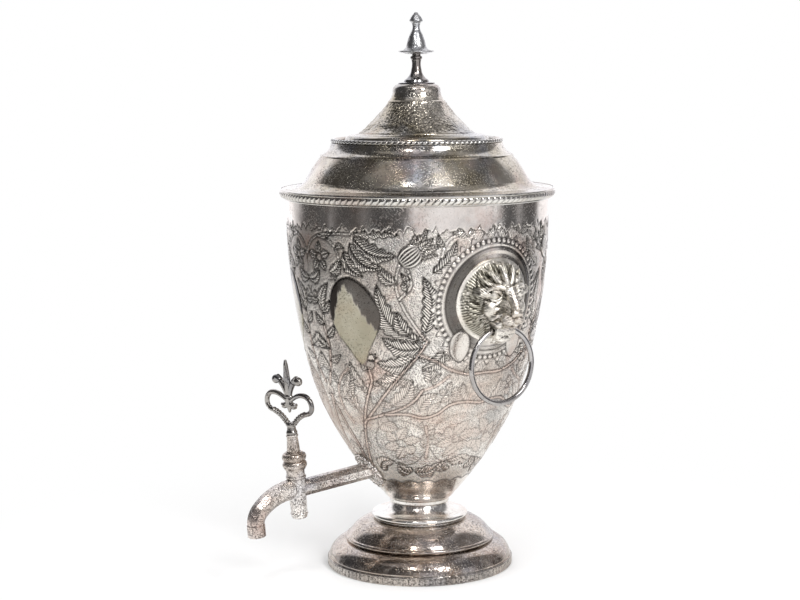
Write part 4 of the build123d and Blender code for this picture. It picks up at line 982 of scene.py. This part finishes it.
def makeCrownLeaves(look):
    crown = nodes["lid_crown"].data
    skin = BVHTree.FromPolygons([v.co for v in crown.vertices], [tuple(p.vertices) for p in crown.polygons])
    levels = np.arange(look["low"] - 1, look["high"] + 1.01, 0.5)
    hits = [skin.ray_cast(Vector((0.2, 0.0003, level * mm)), Vector((-1, 0, 0)))[0] for level in levels]
    outer = np.array([(hit.xy.length / mm, level) for hit, level in zip(hits, levels)])
    along = np.concatenate([[0], np.cumsum(np.hypot(*np.diff(outer, axis=0).T))])
    first, last = (np.interp(look[end], outer[:, 1], along) for end in ("low", "high"))
    rows, columns = 88, look["leaves"] * 80
    up = np.linspace(0, 1, rows)[:, None]
    reach = first + (last - first) * up
    turn = np.linspace(0, 2 * math.pi, columns, endpoint=False)[None, :]
    radius, height = np.interp(reach, along, outer[:, 0]), np.interp(reach, along, outer[:, 1])
    steepR, steepZ = np.gradient(radius[:, 0])[:, None], np.gradient(height[:, 0])[:, None]
    size = np.hypot(steepR, steepZ)
    cell = turn * look["leaves"] / (2 * math.pi)
    across = ((cell + 0.10 * np.sin(math.pi * up)) % 1 - 0.5) * 2
    half = (0.86 * np.clip(np.sin(math.pi * np.clip(0.12 + 0.88 * up, 0, 1) ** 1.15), 0, 1) ** 0.8
            * (1 + 0.16 * np.sin(14 * math.pi * up)))
    inside = np.clip((half - np.abs(across)) / 0.10, 0, 1)
    stray = 0.22 * np.sin(turn * 31 + 17 * up) + 0.16 * np.sin(turn * 53 - 41 * up)
    bent = look["ribs"] * up ** 1.15 - 2.6 * np.abs(across) ** 1.5 + stray
    ribs = 0.5 + 0.5 * np.sin(2 * math.pi * bent)
    # the leaves' middles are rubbed down to rows of beads
    ribs = ribs * (0.45 + 0.55 * np.clip(0.6 + np.sin(turn * 64 + 9 * up + 2 * stray), 0, 1))
    vein = np.exp(-((across / 0.07) ** 2))
    beads = np.clip(np.sin(cell * 2 * math.pi * 5) * np.sin(up * math.pi * 14), 0, 1) ** 0.7
    line = np.exp(-(((up - 0.045) / 0.025) ** 2)) + np.exp(-(((up - 0.955) / 0.025) ** 2))
    worn = 1 - look["wear"] * np.clip(0.2 + 0.7 * np.sin(turn * 3 + 5.0 + 3 * up)
                                      + 0.3 * np.sin(turn * 7 - 9 * up), 0, 1)
    rise = (inside * (0.35 + 0.65 * ribs) * (1 - 0.6 * vein)
            + (1 - inside) * 0.6 * beads * (up > 0.1) * (up < 0.9)) * worn
    rise = np.clip(rise + 0.7 * line, 0.02, 1)
    rise[0] = rise[-1] = -0.4
    proud = look["depth"] * rise + 0.03
    radius = (radius + proud * steepZ / size) * mm
    height = (height - proud * steepR / size) * mm
    points = np.stack([radius * np.cos(turn), radius * np.sin(turn), height], -1)
    outline = np.exp(-(((half - np.abs(across)) / 0.09) ** 2))
    dirt = np.clip(0.45 * inside * (1 - ribs) ** 1.5 + 0.35 * outline
                   + 0.2 * (1 - inside) * (1 - beads), 0, 0.85) * worn
    dirt = dirt * np.clip(up / 0.08, 0, 1) * np.clip((1 - up) / 0.08, 0, 1)
    piece = meshFromGrid("crown_leaves", points, materials["lidSilver"], closed=(False, True), marks={"cut": dirt})
    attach(piece, "lid")


makeCrownLeaves(crownLeaves)
print("crown's leaves chased")

# two notched ridges cast on the plate round the pipe's root, with a fan of short leaves between them
plateRidges = {
    "middle": 84.0,  # mm above the table
    "halfWidth": 13.2,
    "halfHeight": 15.0,
    "rings": ((0.92, 0.9), (0.62, 0.8)),  # share of the plate's size, wire's radius
    "notches": 14,
    "off": 1.9,  # mm from the bowl's wall to the ridges' middle
}


def makePlateRidges(look):
    form = bmesh.new()
    profile = lathePoints("body_shell", 2 * mm) / mm

    def onPlate(share, w):
        x, z = look["halfWidth"] * share * math.sin(w), look["middle"] + look["halfHeight"] * share * math.cos(w)
        reach = np.interp(z, profile[:, 1], profile[:, 0])
        steep = (np.interp(z + 1, profile[:, 1], profile[:, 0]) - reach)
        return Vector((x, -math.sqrt(max(reach ** 2 - x * x, 1)) - look["off"] * 0.9, z - look["off"] * 0.5 * steep))

    for share, size in look["rings"]:
        turns = np.linspace(0, 2 * math.pi, 121)
        path = [onPlate(share * (1 + 0.045 * math.cos(look["notches"] * w)), w) for w in turns]
        taperedTube(form, path, [size] * len(path), 8)
    for k in range(look["notches"] * 2):
        w = math.pi * (k + 0.5) / look["notches"]
        taperedTube(form, [onPlate(s, w) for s in (0.66, 0.77, 0.88)], [0.45, 0.75, 0.35], 8)
    bmesh.ops.recalc_face_normals(form, faces=form.faces)
    mesh = bpy.data.meshes.new("plate_ridges")
    form.to_mesh(mesh)
    form.free()
    mesh.transform(Matrix.Scale(mm, 4))
    mesh.polygons.foreach_set("use_smooth", np.ones(len(mesh.polygons), dtype=bool))
    mesh.materials.append(materials["tapSilver"])
    piece = addObject("plate_ridges", mesh)
    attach(piece, "urn")


# the lion: forms in millimetres on the plate's own plane, x across, y up, z outward
lion = {
    "middle": (101.8, 229.0),  # radius and height of the plate's middle
    "slope": 9.0,  # the plate faces a little downwards
    "plateRadius": 33.0,
    "plateThick": 1.7,
    "maneRadius": 30.5,
    "maneHeight": 6.8,
    "voxel": 0.46,
    # middle, radii, turn about z, turn about x; those off the middle line are made on both sides
    "blobs": [
        ((0, 2, 6.0), (20.0, 21.0, 9.5), 0, 0),  # skull
        ((0, 12.0, 12.0), (11.0, 8.0, 6.0), 0, -22),  # forehead
        ((11.2, 8.0, 14.6), (4.4, 3.1, 3.2), 12, 0),  # eyes
        ((0, -2.6, 30.0), (4.9, 2.9, 3.2), 0, 24),  # nose tip
        ((3.2, -3.8, 29.6), (2.1, 2.0, 2.3), 0, 0),  # nostrils
        ((4.8, -8.4, 24.6), (5.4, 4.4, 6.4), -14, 14),  # muzzle
        ((12.8, -2.6, 12.5), (6.4, 7.6, 6.2), 12, 0),  # cheeks
        ((8.0, -13.4, 17.0), (3.4, 3.6, 5.0), 0, 20),  # lips
        ((0, -12.5, 19.5), (5.0, 2.0, 4.0), 0, 20),  # tongue and teeth
    ],
    # tubes: points and radii, made on both sides
    "tubes": [
        ([(0, 13, 17.4), (0, 8, 21.6), (0, 3, 26.4), (0, -1, 29.4)], [4.6, 4.3, 3.9, 3.6]),  # bridge of the nose
        ([(2.4, 11.0, 20.2), (6.4, 14.6, 18.4), (12.0, 15.0, 16.0), (17.6, 11.6, 12.4)], [1.9, 2.3, 2.1, 1.2]),  # brows
        # upper lids
        ([(6.2, 8.6, 17.4), (9.4, 11.4, 17.2), (13.2, 11.0, 15.8), (16.2, 8.0, 13.0)], [1.0, 1.4, 1.3, 0.8]),
        # lower lids
        ([(6.2, 7.6, 17.2), (9.6, 4.9, 16.8), (13.2, 4.8, 15.4), (16.2, 7.4, 13.0)], [0.9, 1.2, 1.1, 0.7]),
        # under the eyes
        ([(6.2, 5.2, 17.4), (10.0, 2.0, 17.2), (14.6, 1.6, 14.6), (18.6, 3.4, 10.6)], [1.2, 1.3, 1.2, 0.7]),
        ([(13.0, 8.0, 13.0), (19.5, 8.8, 10.6), (26.0, 9.0, 7.6), (31.6, 8.6, 4.4)], [2.6, 3.2, 2.2, 0.6]),  # ears
        ([(14.6, 10.4, 12.6), (20.0, 12.4, 10.4), (26.5, 12.4, 7.4)], [1.2, 1.4, 0.5]),
        # cheek folds
        ([(9.0, -1.0, 19.4), (14.4, -4.6, 16.2), (19.6, -10.4, 10.0), (23.4, -13.6, 6.0)], [1.1, 1.7, 1.5, 0.5]),
        ([(8.0, -5.0, 21.6), (12.8, -9.6, 16.6), (16.4, -15.6, 10.6), (19.0, -20.0, 6.0)], [1.0, 1.6, 1.5, 0.5]),
        ([(5.6, -9.4, 25.2), (9.6, -13.4, 18.6), (11.4, -17.4, 12.4)], [0.9, 1.3, 0.9]),
    ],
    "ringRadius": 29.0,  # the ring handle, which must pass over the head
    "ringDrop": 28.0,  # from its hinge to its middle
    "wireRadius": 2.1,
    "ringGap": 0.6,
    "flames": 9,  # pointed locks that stand up from the brow
    "tunnel": 3.5,  # radius that the ring turns in
    "jawThick": 2.5,
    "jawHalf": 9.6,
    # forms placed from the tunnel's middle
    "chin": [((0, -6.6, 1.0), (8.2, 3.2, 4.2)), ((0, -8.4, -1.5), (6.0, 3.4, 4.4)),
             ((5.6, -3.8, 2.6), (3.6, 3.0, 3.0)), ((-5.6, -3.8, 2.6), (3.6, 3.0, 3.0))],
    "locks": 30,
    "combTeeth": 84,  # fine strands at the plate's edge
}


def hingeOf(joint):
    # a joint's place in millimetres
    return Vector([found["pos_m"] for found in frame["joints"] if found["name"] == joint][0]) / mm


def wallOffset(profile, middle, slope, x, y):
    # how far the bowl's wall lies from the plate's plane at (x, y), in millimetres
    tilt = math.radians(slope)
    z = np.zeros_like(x)
    for _ in range(3):
        radius = middle[0] + z * math.cos(tilt) + y * math.sin(tilt)
        height = middle[1] - z * math.sin(tilt) + y * math.cos(tilt)
        wanted = np.interp(height, profile[:, 1] / mm, profile[:, 0] / mm)
        z = z + (np.sqrt(np.maximum(wanted ** 2 - x ** 2, 1)) - radius) / math.cos(tilt)
    return z


def ellipsoid(form, middle, radii, turn, nod):
    fit = (Matrix.Translation(middle) @ Matrix.Rotation(math.radians(turn), 4, "Z")
           @ Matrix.Rotation(math.radians(nod), 4, "X"))
    bmesh.ops.create_icosphere(form, subdivisions=3, radius=1, matrix=fit @ Matrix.Diagonal((*radii, 1)))


def closeRings(form, rings):
    # faces between rings of vertices, and over both ends
    sides = len(rings[0])
    for low, high in zip(rings, rings[1:]):
        for k in range(sides):
            form.faces.new((low[k], low[(k + 1) % sides], high[(k + 1) % sides], high[k]))
    form.faces.new(rings[0][::-1])
    form.faces.new(rings[-1])


def taperedTube(form, path, radii, sides=8):
    # a closed tube through the points, with a radius at each
    path = [Vector(p) for p in path]
    rings = []
    for i, point in enumerate(path):
        heading = (path[min(i + 1, len(path) - 1)] - path[max(i - 1, 0)]).normalized()
        across = heading.orthogonal().normalized()
        over = heading.cross(across)
        rings.append([form.verts.new(point + (across * math.cos(w) + over * math.sin(w)) * radii[i])
                      for w in [2 * math.pi * k / sides for k in range(sides)]])
    closeRings(form, rings)


def remeshed(name, form, voxel, smoothing):
    # the closed forms fused into one skin
    bmesh.ops.recalc_face_normals(form, faces=form.faces)
    rough = bpy.data.meshes.new(name + "Forms")
    form.to_mesh(rough)
    form.free()
    piece = addObject(name, rough)
    fuse = piece.modifiers.new("fuse", "REMESH")
    fuse.mode, fuse.voxel_size = "VOXEL", voxel
    soften = piece.modifiers.new("soften", "SMOOTH")
    soften.factor, soften.iterations = 0.5, smoothing
    bpy.context.view_layer.update()
    skin = bpy.data.meshes.new_from_object(piece.evaluated_get(bpy.context.evaluated_depsgraph_get()))
    piece.modifiers.clear()
    piece.data = skin
    skin.name = name
    bpy.data.meshes.remove(rough)
    skin.polygons.foreach_set("use_smooth", np.ones(len(skin.polygons), dtype=bool))
    return piece


def lionForms(look, profile):
    form = bmesh.new()
    # plate and mane as one low dome on the wall
    rings, steps = 26, 96
    radius = np.linspace(0, look["plateRadius"], rings)[:, None]
    turn = np.linspace(0, 2 * math.pi, steps, endpoint=False)[None, :]
    x, y = radius * np.cos(turn), radius * np.sin(turn)
    base = wallOffset(profile, look["middle"], look["slope"], x, y)
    swell = np.clip(1 - (radius / look["maneRadius"]) ** 2, 0, 1) ** 0.6 * look["maneHeight"]
    tops = [[form.verts.new((x[i, k], y[i, k], base[i, k] + look["plateThick"] + swell[i, 0])) for k in range(steps)]
            for i in range(1, rings)]
    feet = [[form.verts.new((x[i, k], y[i, k], base[i, k] - 0.5)) for k in range(steps)] for i in range(1, rings)]
    crown = form.verts.new((0, 0, base[0, 0] + look["plateThick"] + look["maneHeight"]))
    heel = form.verts.new((0, 0, base[0, 0] - 0.5))
    for k in range(steps):
        n = (k + 1) % steps
        form.faces.new((crown, tops[0][k], tops[0][n]))
        form.faces.new((heel, feet[0][n], feet[0][k]))
        for i in range(rings - 2):
            form.faces.new((tops[i][k], tops[i + 1][k], tops[i + 1][n], tops[i][n]))
            form.faces.new((feet[i][k], feet[i][n], feet[i + 1][n], feet[i + 1][k]))
        form.faces.new((tops[-1][k], feet[-1][k], feet[-1][n], tops[-1][n]))
    # mane locks in two tiers, swept back from the face
    chance = np.random.default_rng(4)
    for tier, (start, end, thick) in enumerate(((13.0, 24.5, 2.1), (19.0, 30.2, 1.7))):
        for k in range(look["locks"]):
            angle = 2 * math.pi * (k + 0.5 * tier) / look["locks"]
            if math.radians(222) < angle < math.radians(318):
                continue  # the jaw hangs here
            sweep = chance.uniform(-0.16, 0.16) + 0.22 * math.cos(angle)
            path = []
            for t in np.linspace(0, 1, 6):
                away = start + (end - start) * t
                w = angle + sweep * t * t * 2
                lift = 10.4 - 2.2 * tier - (6.6 - 1.0 * tier) * t ** 1.3
                px, py = away * math.cos(w), away * math.sin(w)
                drop = float(wallOffset(profile, look["middle"], look["slope"], np.array([px]), np.array([py]))[0])
                path.append((px, py, drop + lift))
            taperedTube(form, path, [thick * s for s in (0.5, 0.95, 1.0, 0.85, 0.6, 0.25)])
    for (x0, y0, z0), radii, turned, nod in look["blobs"]:
        for side in (1, -1) if x0 else (1,):
            ellipsoid(form, (side * x0, y0, z0), radii, side * turned, nod)
    for path, radii in look["tubes"]:
        for side in (1, -1) if path[-1][0] else (1,):
            curve = smoothPath([(side * p[0], p[1], p[2]) for p in path], step=0.25)
            taperedTube(form, curve, np.interp(np.linspace(0, 1, len(curve)), np.linspace(0, 1, len(radii)), radii), 10)
    for k in range(look["flames"]):
        fan = math.radians(-62 + 124 * k / (look["flames"] - 1))
        long = 15.5 + 3.0 * math.cos(fan) + (1.6 if k % 2 else 0)
        foot = Vector((math.sin(fan) * 7.0, 12.5 + 2.2 * math.cos(fan), 16.4 - 2.6 * abs(math.sin(fan))))
        bend = 2.2 if k % 2 else -1.6
        path = [foot + Vector((math.sin(fan) * long * t + math.cos(fan) * bend * math.sin(math.pi * t),
                               math.cos(fan) * long * t - math.sin(fan) * bend * math.sin(math.pi * t),
                               -10.5 * t ** 1.15)) for t in np.linspace(0, 1, 7)]
        taperedTube(form, path, [1.2, 2.1, 2.4, 2.2, 1.7, 1.1, 0.35], 8)
    # jaw, wrapped round the tunnel of the ring
    hinge = hingeOf("ring_right_swing")
    tilt = math.radians(look["slope"])
    outX, outZ = hinge.x - look["middle"][0], hinge.z - look["middle"][1]
    hingeUp, hingeOut = outX * math.sin(tilt) + outZ * math.cos(tilt), outX * math.cos(tilt) - outZ * math.sin(tilt)
    steps = 40
    inner, outer = look["tunnel"], look["tunnel"] + look["jawThick"]
    walls = []
    for half in (-look["jawHalf"], look["jawHalf"]):
        for size in (inner, outer):
            squash = 0.92 if size == outer else 1.0
            walls.append([form.verts.new((half * squash, hingeUp + math.sin(w) * size, hingeOut + math.cos(w) * size))
                          for w in [2 * math.pi * k / steps for k in range(steps)]])
    innerLeft, outerLeft, innerRight, outerRight = walls
    for k in range(steps):
        n = (k + 1) % steps
        form.faces.new((innerLeft[k], innerLeft[n], innerRight[n], innerRight[k]))
        form.faces.new((outerLeft[k], outerRight[k], outerRight[n], outerLeft[n]))
        form.faces.new((innerLeft[k], outerLeft[k], outerLeft[n], innerLeft[n]))
        form.faces.new((innerRight[k], innerRight[n], outerRight[n], outerRight[k]))
    # chin, throat and tufts of beard round the jaw
    for (x0, up, out), radii in look["chin"]:
        ellipsoid(form, (x0, hingeUp + up, hingeOut + out), radii, 0, 0)
    for side in (-1, 1):
        taperedTube(form, [(side * 7.5, -11, 6), (side * 7.0, hingeUp, hingeOut - 7),
                           (side * 5.5, hingeUp - 7, hingeOut - 5)], [4.6, 3.4, 3.0], 12)
    for k in range(-3, 4):
        taperedTube(form, [(k * 2.3, hingeUp - 5, hingeOut + 2.2), (k * 2.5, hingeUp - 9, hingeOut + 0.6),
                           (k * 2.6, hingeUp - 12.6 + abs(k) * 0.6, hingeOut - 3)], [1.5, 1.3, 0.5])
    return form


def combMane(piece, look):
    # hair cut into the fused skin: fine strands that fan out from the face, with dirt between them
    mesh = piece.data
    count = len(mesh.vertices)
    place = np.zeros(count * 3, dtype=np.float32)
    mesh.vertices.foreach_get("co", place)
    place = place.reshape(-1, 3)
    normal = np.zeros(count * 3, dtype=np.float32)
    mesh.vertex_normals.foreach_get("vector", normal)
    normal = normal.reshape(-1, 3)
    x, y, z = place.T
    away, around = np.hypot(x, y), np.arctan2(y, x)
    outer = np.clip((away - 12) / 6, 0, 1) * np.clip(1.6 - np.maximum(z - 11, 0) / 3, 0, 1)
    strands = np.sin(look["combTeeth"] * around + 3.0 * np.sin(away * 0.22 + around * 3))
    edge = np.clip((away - look["maneRadius"] + 1) / 1.2, 0, 1)
    outer = outer * (1 - edge)
    groove = np.clip(-strands, 0, 1) * outer
    # whisker lines across the muzzle and cheeks
    muzzle = np.exp(-(((y + 10) / 5) ** 2)) * np.clip((z - 14) / 3, 0, 1) * (1 - np.exp(-((x / 2.0) ** 2)))
    rows = np.clip(np.sin((y + 0.35 * np.abs(x)) * 3.4), 0, 1) * muzzle
    # a rough old casting: shallow waves and chaser's ticks over the face
    waves = (np.sin(0.9 * x + 1.4 * y) * np.sin(1.3 * y - 0.8 * z + 0.5 * x)
             + 0.6 * np.sin(2.1 * x - 1.1 * z) * np.sin(1.9 * y + 0.7 * x))
    ticks = np.sin(3.1 * y + 1.2 * np.abs(x) + 0.8 * np.sin(1.7 * x)) * np.sin(1.6 * np.abs(x) - 0.9 * z)
    face = np.clip((z - 9) / 4, 0, 1)
    depth = 0.42 * groove + 0.22 * rows + face * (0.15 * waves + 0.12 * ticks)
    place = place - normal * depth[:, None]
    # nothing stands where the ring swings up over the head
    hinge = hingeOf("ring_right_swing")
    tilt = math.radians(look["slope"])

    def onUrn():
        # how far each vertex stands from the urn's axis, and how high
        return (look["middle"][0] + place[:, 2] * math.cos(tilt) + place[:, 1] * math.sin(tilt),
                look["middle"][1] - place[:, 2] * math.sin(tilt) + place[:, 1] * math.cos(tilt))

    for _ in range(2):
        out, height = onUrn()
        swing = np.hypot(np.hypot(out - hinge.x, height - hinge.z) - look["ringDrop"], place[:, 0])
        free = look["ringRadius"] - look["wireRadius"] - look["ringGap"]
        limit = hinge.x - look["wireRadius"] - look["ringGap"] + 1.5 * np.clip(free - swing, 0, None)
        # the snout lies well inside the ring
        limit += 30 * np.clip((23 - swing) / 3, 0, 1)
        place[:, 2] -= np.where(height > hinge.z + 2, np.clip(out - limit, 0, None), 0) / math.cos(tilt)
    # and the bore through the jaw is wide enough for the wire to turn in
    out, height = onUrn()
    out, height = out - hinge.x, height - hinge.z
    boreHalf = 11  # mm each way from the middle
    sideways = np.clip(np.abs(place[:, 0]), 0, boreHalf)
    bore = np.abs(look["ringDrop"] - np.sqrt(look["ringRadius"] ** 2 - sideways ** 2)) + look["wireRadius"] + 0.3
    axisAway = np.maximum(np.hypot(out, height), 0.01)
    push = np.where(np.abs(place[:, 0]) < boreHalf, np.clip(bore / axisAway - 1, 0, 2), 0)
    place[:, 2] += push * (out * math.cos(tilt) - height * math.sin(tilt))
    place[:, 1] += push * (out * math.sin(tilt) + height * math.cos(tilt))
    mesh.vertices.foreach_set("co", place.reshape(-1))
    mesh.update()
    # dirt and painted shade where the skin is hollow: the creases darkened so the eyes, brows and folds show
    ends = np.zeros(len(mesh.edges) * 2, dtype=np.int64)
    mesh.edges.foreach_get("vertices", ends)
    near, far = ends.reshape(-1, 2).T
    shared = np.maximum(np.bincount(near, minlength=count) + np.bincount(far, minlength=count), 1)
    spread = place.copy()
    for _ in range(14):
        spread = np.stack([(np.bincount(near, spread[far, k], count) + np.bincount(far, spread[near, k], count))
                           / shared for k in range(3)], -1)
    creaseShadeAndDirt = np.clip(((spread - place) * normal).sum(1) * 3.2, 0, 0.8) * (1 - edge)
    cut = mesh.attributes.new("cut", "FLOAT", "POINT")
    cut.data.foreach_set("value", np.clip(0.45 * groove + 0.4 * rows + 1.15 * creaseShadeAndDirt, 0, 0.85).astype(np.float32))
    green = mesh.attributes.new("green", "FLOAT", "POINT")
    green.data.foreach_set("value", (0.6 * np.clip((13 - z) / 6, 0, 1) * (1 - edge)).astype(np.float32))


def makeLions(look, profile):
    for name, side, node in (("lion_right", 1, "lion_mask_right"), ("lion_left", -1, "lion_mask_left")):
        piece = remeshed(name, lionForms(look, profile), look["voxel"], 2)
        combMane(piece, look)
        tilt = math.radians(look["slope"])
        across = Vector((0, side, 0))
        above = Vector((side * math.sin(tilt), 0, math.cos(tilt)))
        out = Vector((side * math.cos(tilt), 0, -math.sin(tilt)))
        fit = Matrix((across, above, out)).transposed().to_4x4()
        fit.translation = Vector((side * look["middle"][0], 0, look["middle"][1]))
        piece.data.transform(Matrix.Scale(mm, 4) @ fit)
        piece.data.materials.clear()
        piece.data.materials.append(materials["maskSilver"])
        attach(piece, "urn")
        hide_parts(node)
        print(name, len(piece.data.polygons), "faces")


makeLions(lion, outside)
makePlateRidges(plateRidges)
print("lions and the tap's plate done")

# the key: a heart of cast wire whose lower arms are twisted, with a lily standing in it. Millimetres on the key's own
# plane, x across and y up the plug
key = {
    "lean": 5.0,
    "turn": 12.0,
    "neck": [(4.4, 44.9), (4.5, 46.6), (3.7, 48.2), (3.4, 50.5), (3.9, 52.6), (2.2, 54.2), (0.2, 54.6)],
    "arm": [(1.8, 51.2), (5.0, 54.6), (9.6, 58.6), (14.6, 61.4), (19.4, 62.9)],
    "armRadius": 2.3,
    "armBeads": 2.7,  # mm between the twists
    "lobe": [(18.4, 62.6), (21.6, 63.3), (24.6, 65.8), (25.4, 69.4), (24.0, 73.4), (20.4, 76.4), (15.6, 77.2),
             (10.8, 76.4), (6.4, 74.4), (2.6, 72.2)],
    "lobeRadius": (1.9, 2.0, 2.0, 2.0, 2.1, 2.1, 2.1, 2.0, 1.8, 1.6),
    # outlines with half thickness: right-hand half of the middle leaf, a side leaf's spine, the curl below
    "leaf": [(0.6, 104.4), (1.7, 100.5), (2.6, 95.0), (3.5, 88.5), (3.3, 83.0), (2.5, 78.5), (2.2, 75.0)],
    "leafThick": 1.9,
    "side": [(1.6, 75.5), (3.0, 80.0), (5.4, 84.4), (8.4, 87.8), (11.4, 89.3)],
    "sideRadius": (1.7, 2.0, 2.3, 2.8, 3.3),
    "knob": ((12.4, 88.0), 3.8),
    "curl": [(1.2, 73.5), (1.9, 70.2), (3.4, 68.0), (5.4, 67.8), (5.6, 69.6)],
    "curlRadius": (1.8, 1.9, 2.3, 3.0, 2.5),
    "point": [(2.0, 74.6), (2.2, 70.5), (2.2, 66.0), (0.6, 62.2)],
    "band": (75.2, 3.9, 1.5),
    "voxel": 0.24,
}


def flatLeaf(form, outline, thick):
    # a leaf lens from the right-hand half of its outline
    levels = [p[1] for p in outline]
    steps = 16
    rings = []
    for half, level in zip([p[0] for p in outline], levels):
        depth = thick * min(1.0, 0.35 + half / 2.4)
        rings.append([form.verts.new((half * math.cos(w), level, depth * math.sin(w)))
                      for w in [2 * math.pi * k / steps for k in range(steps)]])
    closeRings(form, rings)


def keyPath(points, side, step=0.25):
    return [(side * p[0], p[1], 0) for p in smoothPath(points, step=step)]


def makeKey(look):
    form = bmesh.new()
    steps = 24
    rings = [[form.verts.new((r * math.cos(w), h, r * math.sin(w)))
              for w in [2 * math.pi * k / steps for k in range(steps)]] for r, h in look["neck"]]
    closeRings(form, rings)
    for side in (1, -1):
        # the twisted arm is a string of leaning beads round a core
        arm = [Vector(p) for p in keyPath(look["arm"], side, 0.05)]
        taperedTube(form, arm[::4] + [arm[-1]], [look["armRadius"] * 0.6] * (len(arm[::4]) + 1), 12)
        travel = 0.0
        for low, high in zip(arm, arm[1:]):
            travel += (high - low).length
            if travel >= look["armBeads"]:
                travel = 0.0
                heading = (high - low).normalized()
                turn = math.degrees(math.atan2(heading.y, heading.x)) + 32
                ellipsoid(form, low, (look["armBeads"] * 0.44, look["armRadius"] * 1.15, look["armRadius"] * 1.08),
                          turn, 0)
        lobe = keyPath(look["lobe"], side, 0.25)
        radii = np.interp(np.linspace(0, 1, len(lobe)), np.linspace(0, 1, len(look["lobeRadius"])), look["lobeRadius"])
        taperedTube(form, lobe, radii, 16)
        for path, thicks in ((look["side"], look["sideRadius"]), (look["curl"], look["curlRadius"])):
            line = keyPath(path, side)
            taperedTube(form, line, np.interp(np.linspace(0, 1, len(line)), np.linspace(0, 1, len(thicks)), thicks), 12)
        (kx, ky), size = look["knob"]
        ellipsoid(form, (side * kx, ky, 0), (size, size * 0.95, size * 0.85), 0, 0)
    flatLeaf(form, look["leaf"], look["leafThick"])
    flatLeaf(form, look["point"], look["leafThick"] * 0.9)
    level, half, tall = look["band"]
    ellipsoid(form, (0, level, 0), (half, tall, 2.9), 0, 0)
    piece = remeshed("key", form, look["voxel"], 2)
    lean, turn = math.radians(look["lean"]), math.radians(look["turn"])
    up = Vector((0, -math.sin(lean), math.cos(lean)))
    across = Matrix.Rotation(turn, 3, up) @ Vector((1, 0, 0))
    fit = Matrix((across, up, across.cross(up))).transposed().to_4x4()
    fit.translation = hingeOf("tap_turn")
    piece.data.transform(Matrix.Scale(mm, 4) @ fit)
    piece.data.materials.clear()
    piece.data.materials.append(materials["darkSilver"])
    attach(piece, "tap_handle")
    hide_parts("tap_key")
    print("key", len(piece.data.polygons), "faces")


makeKey(key)
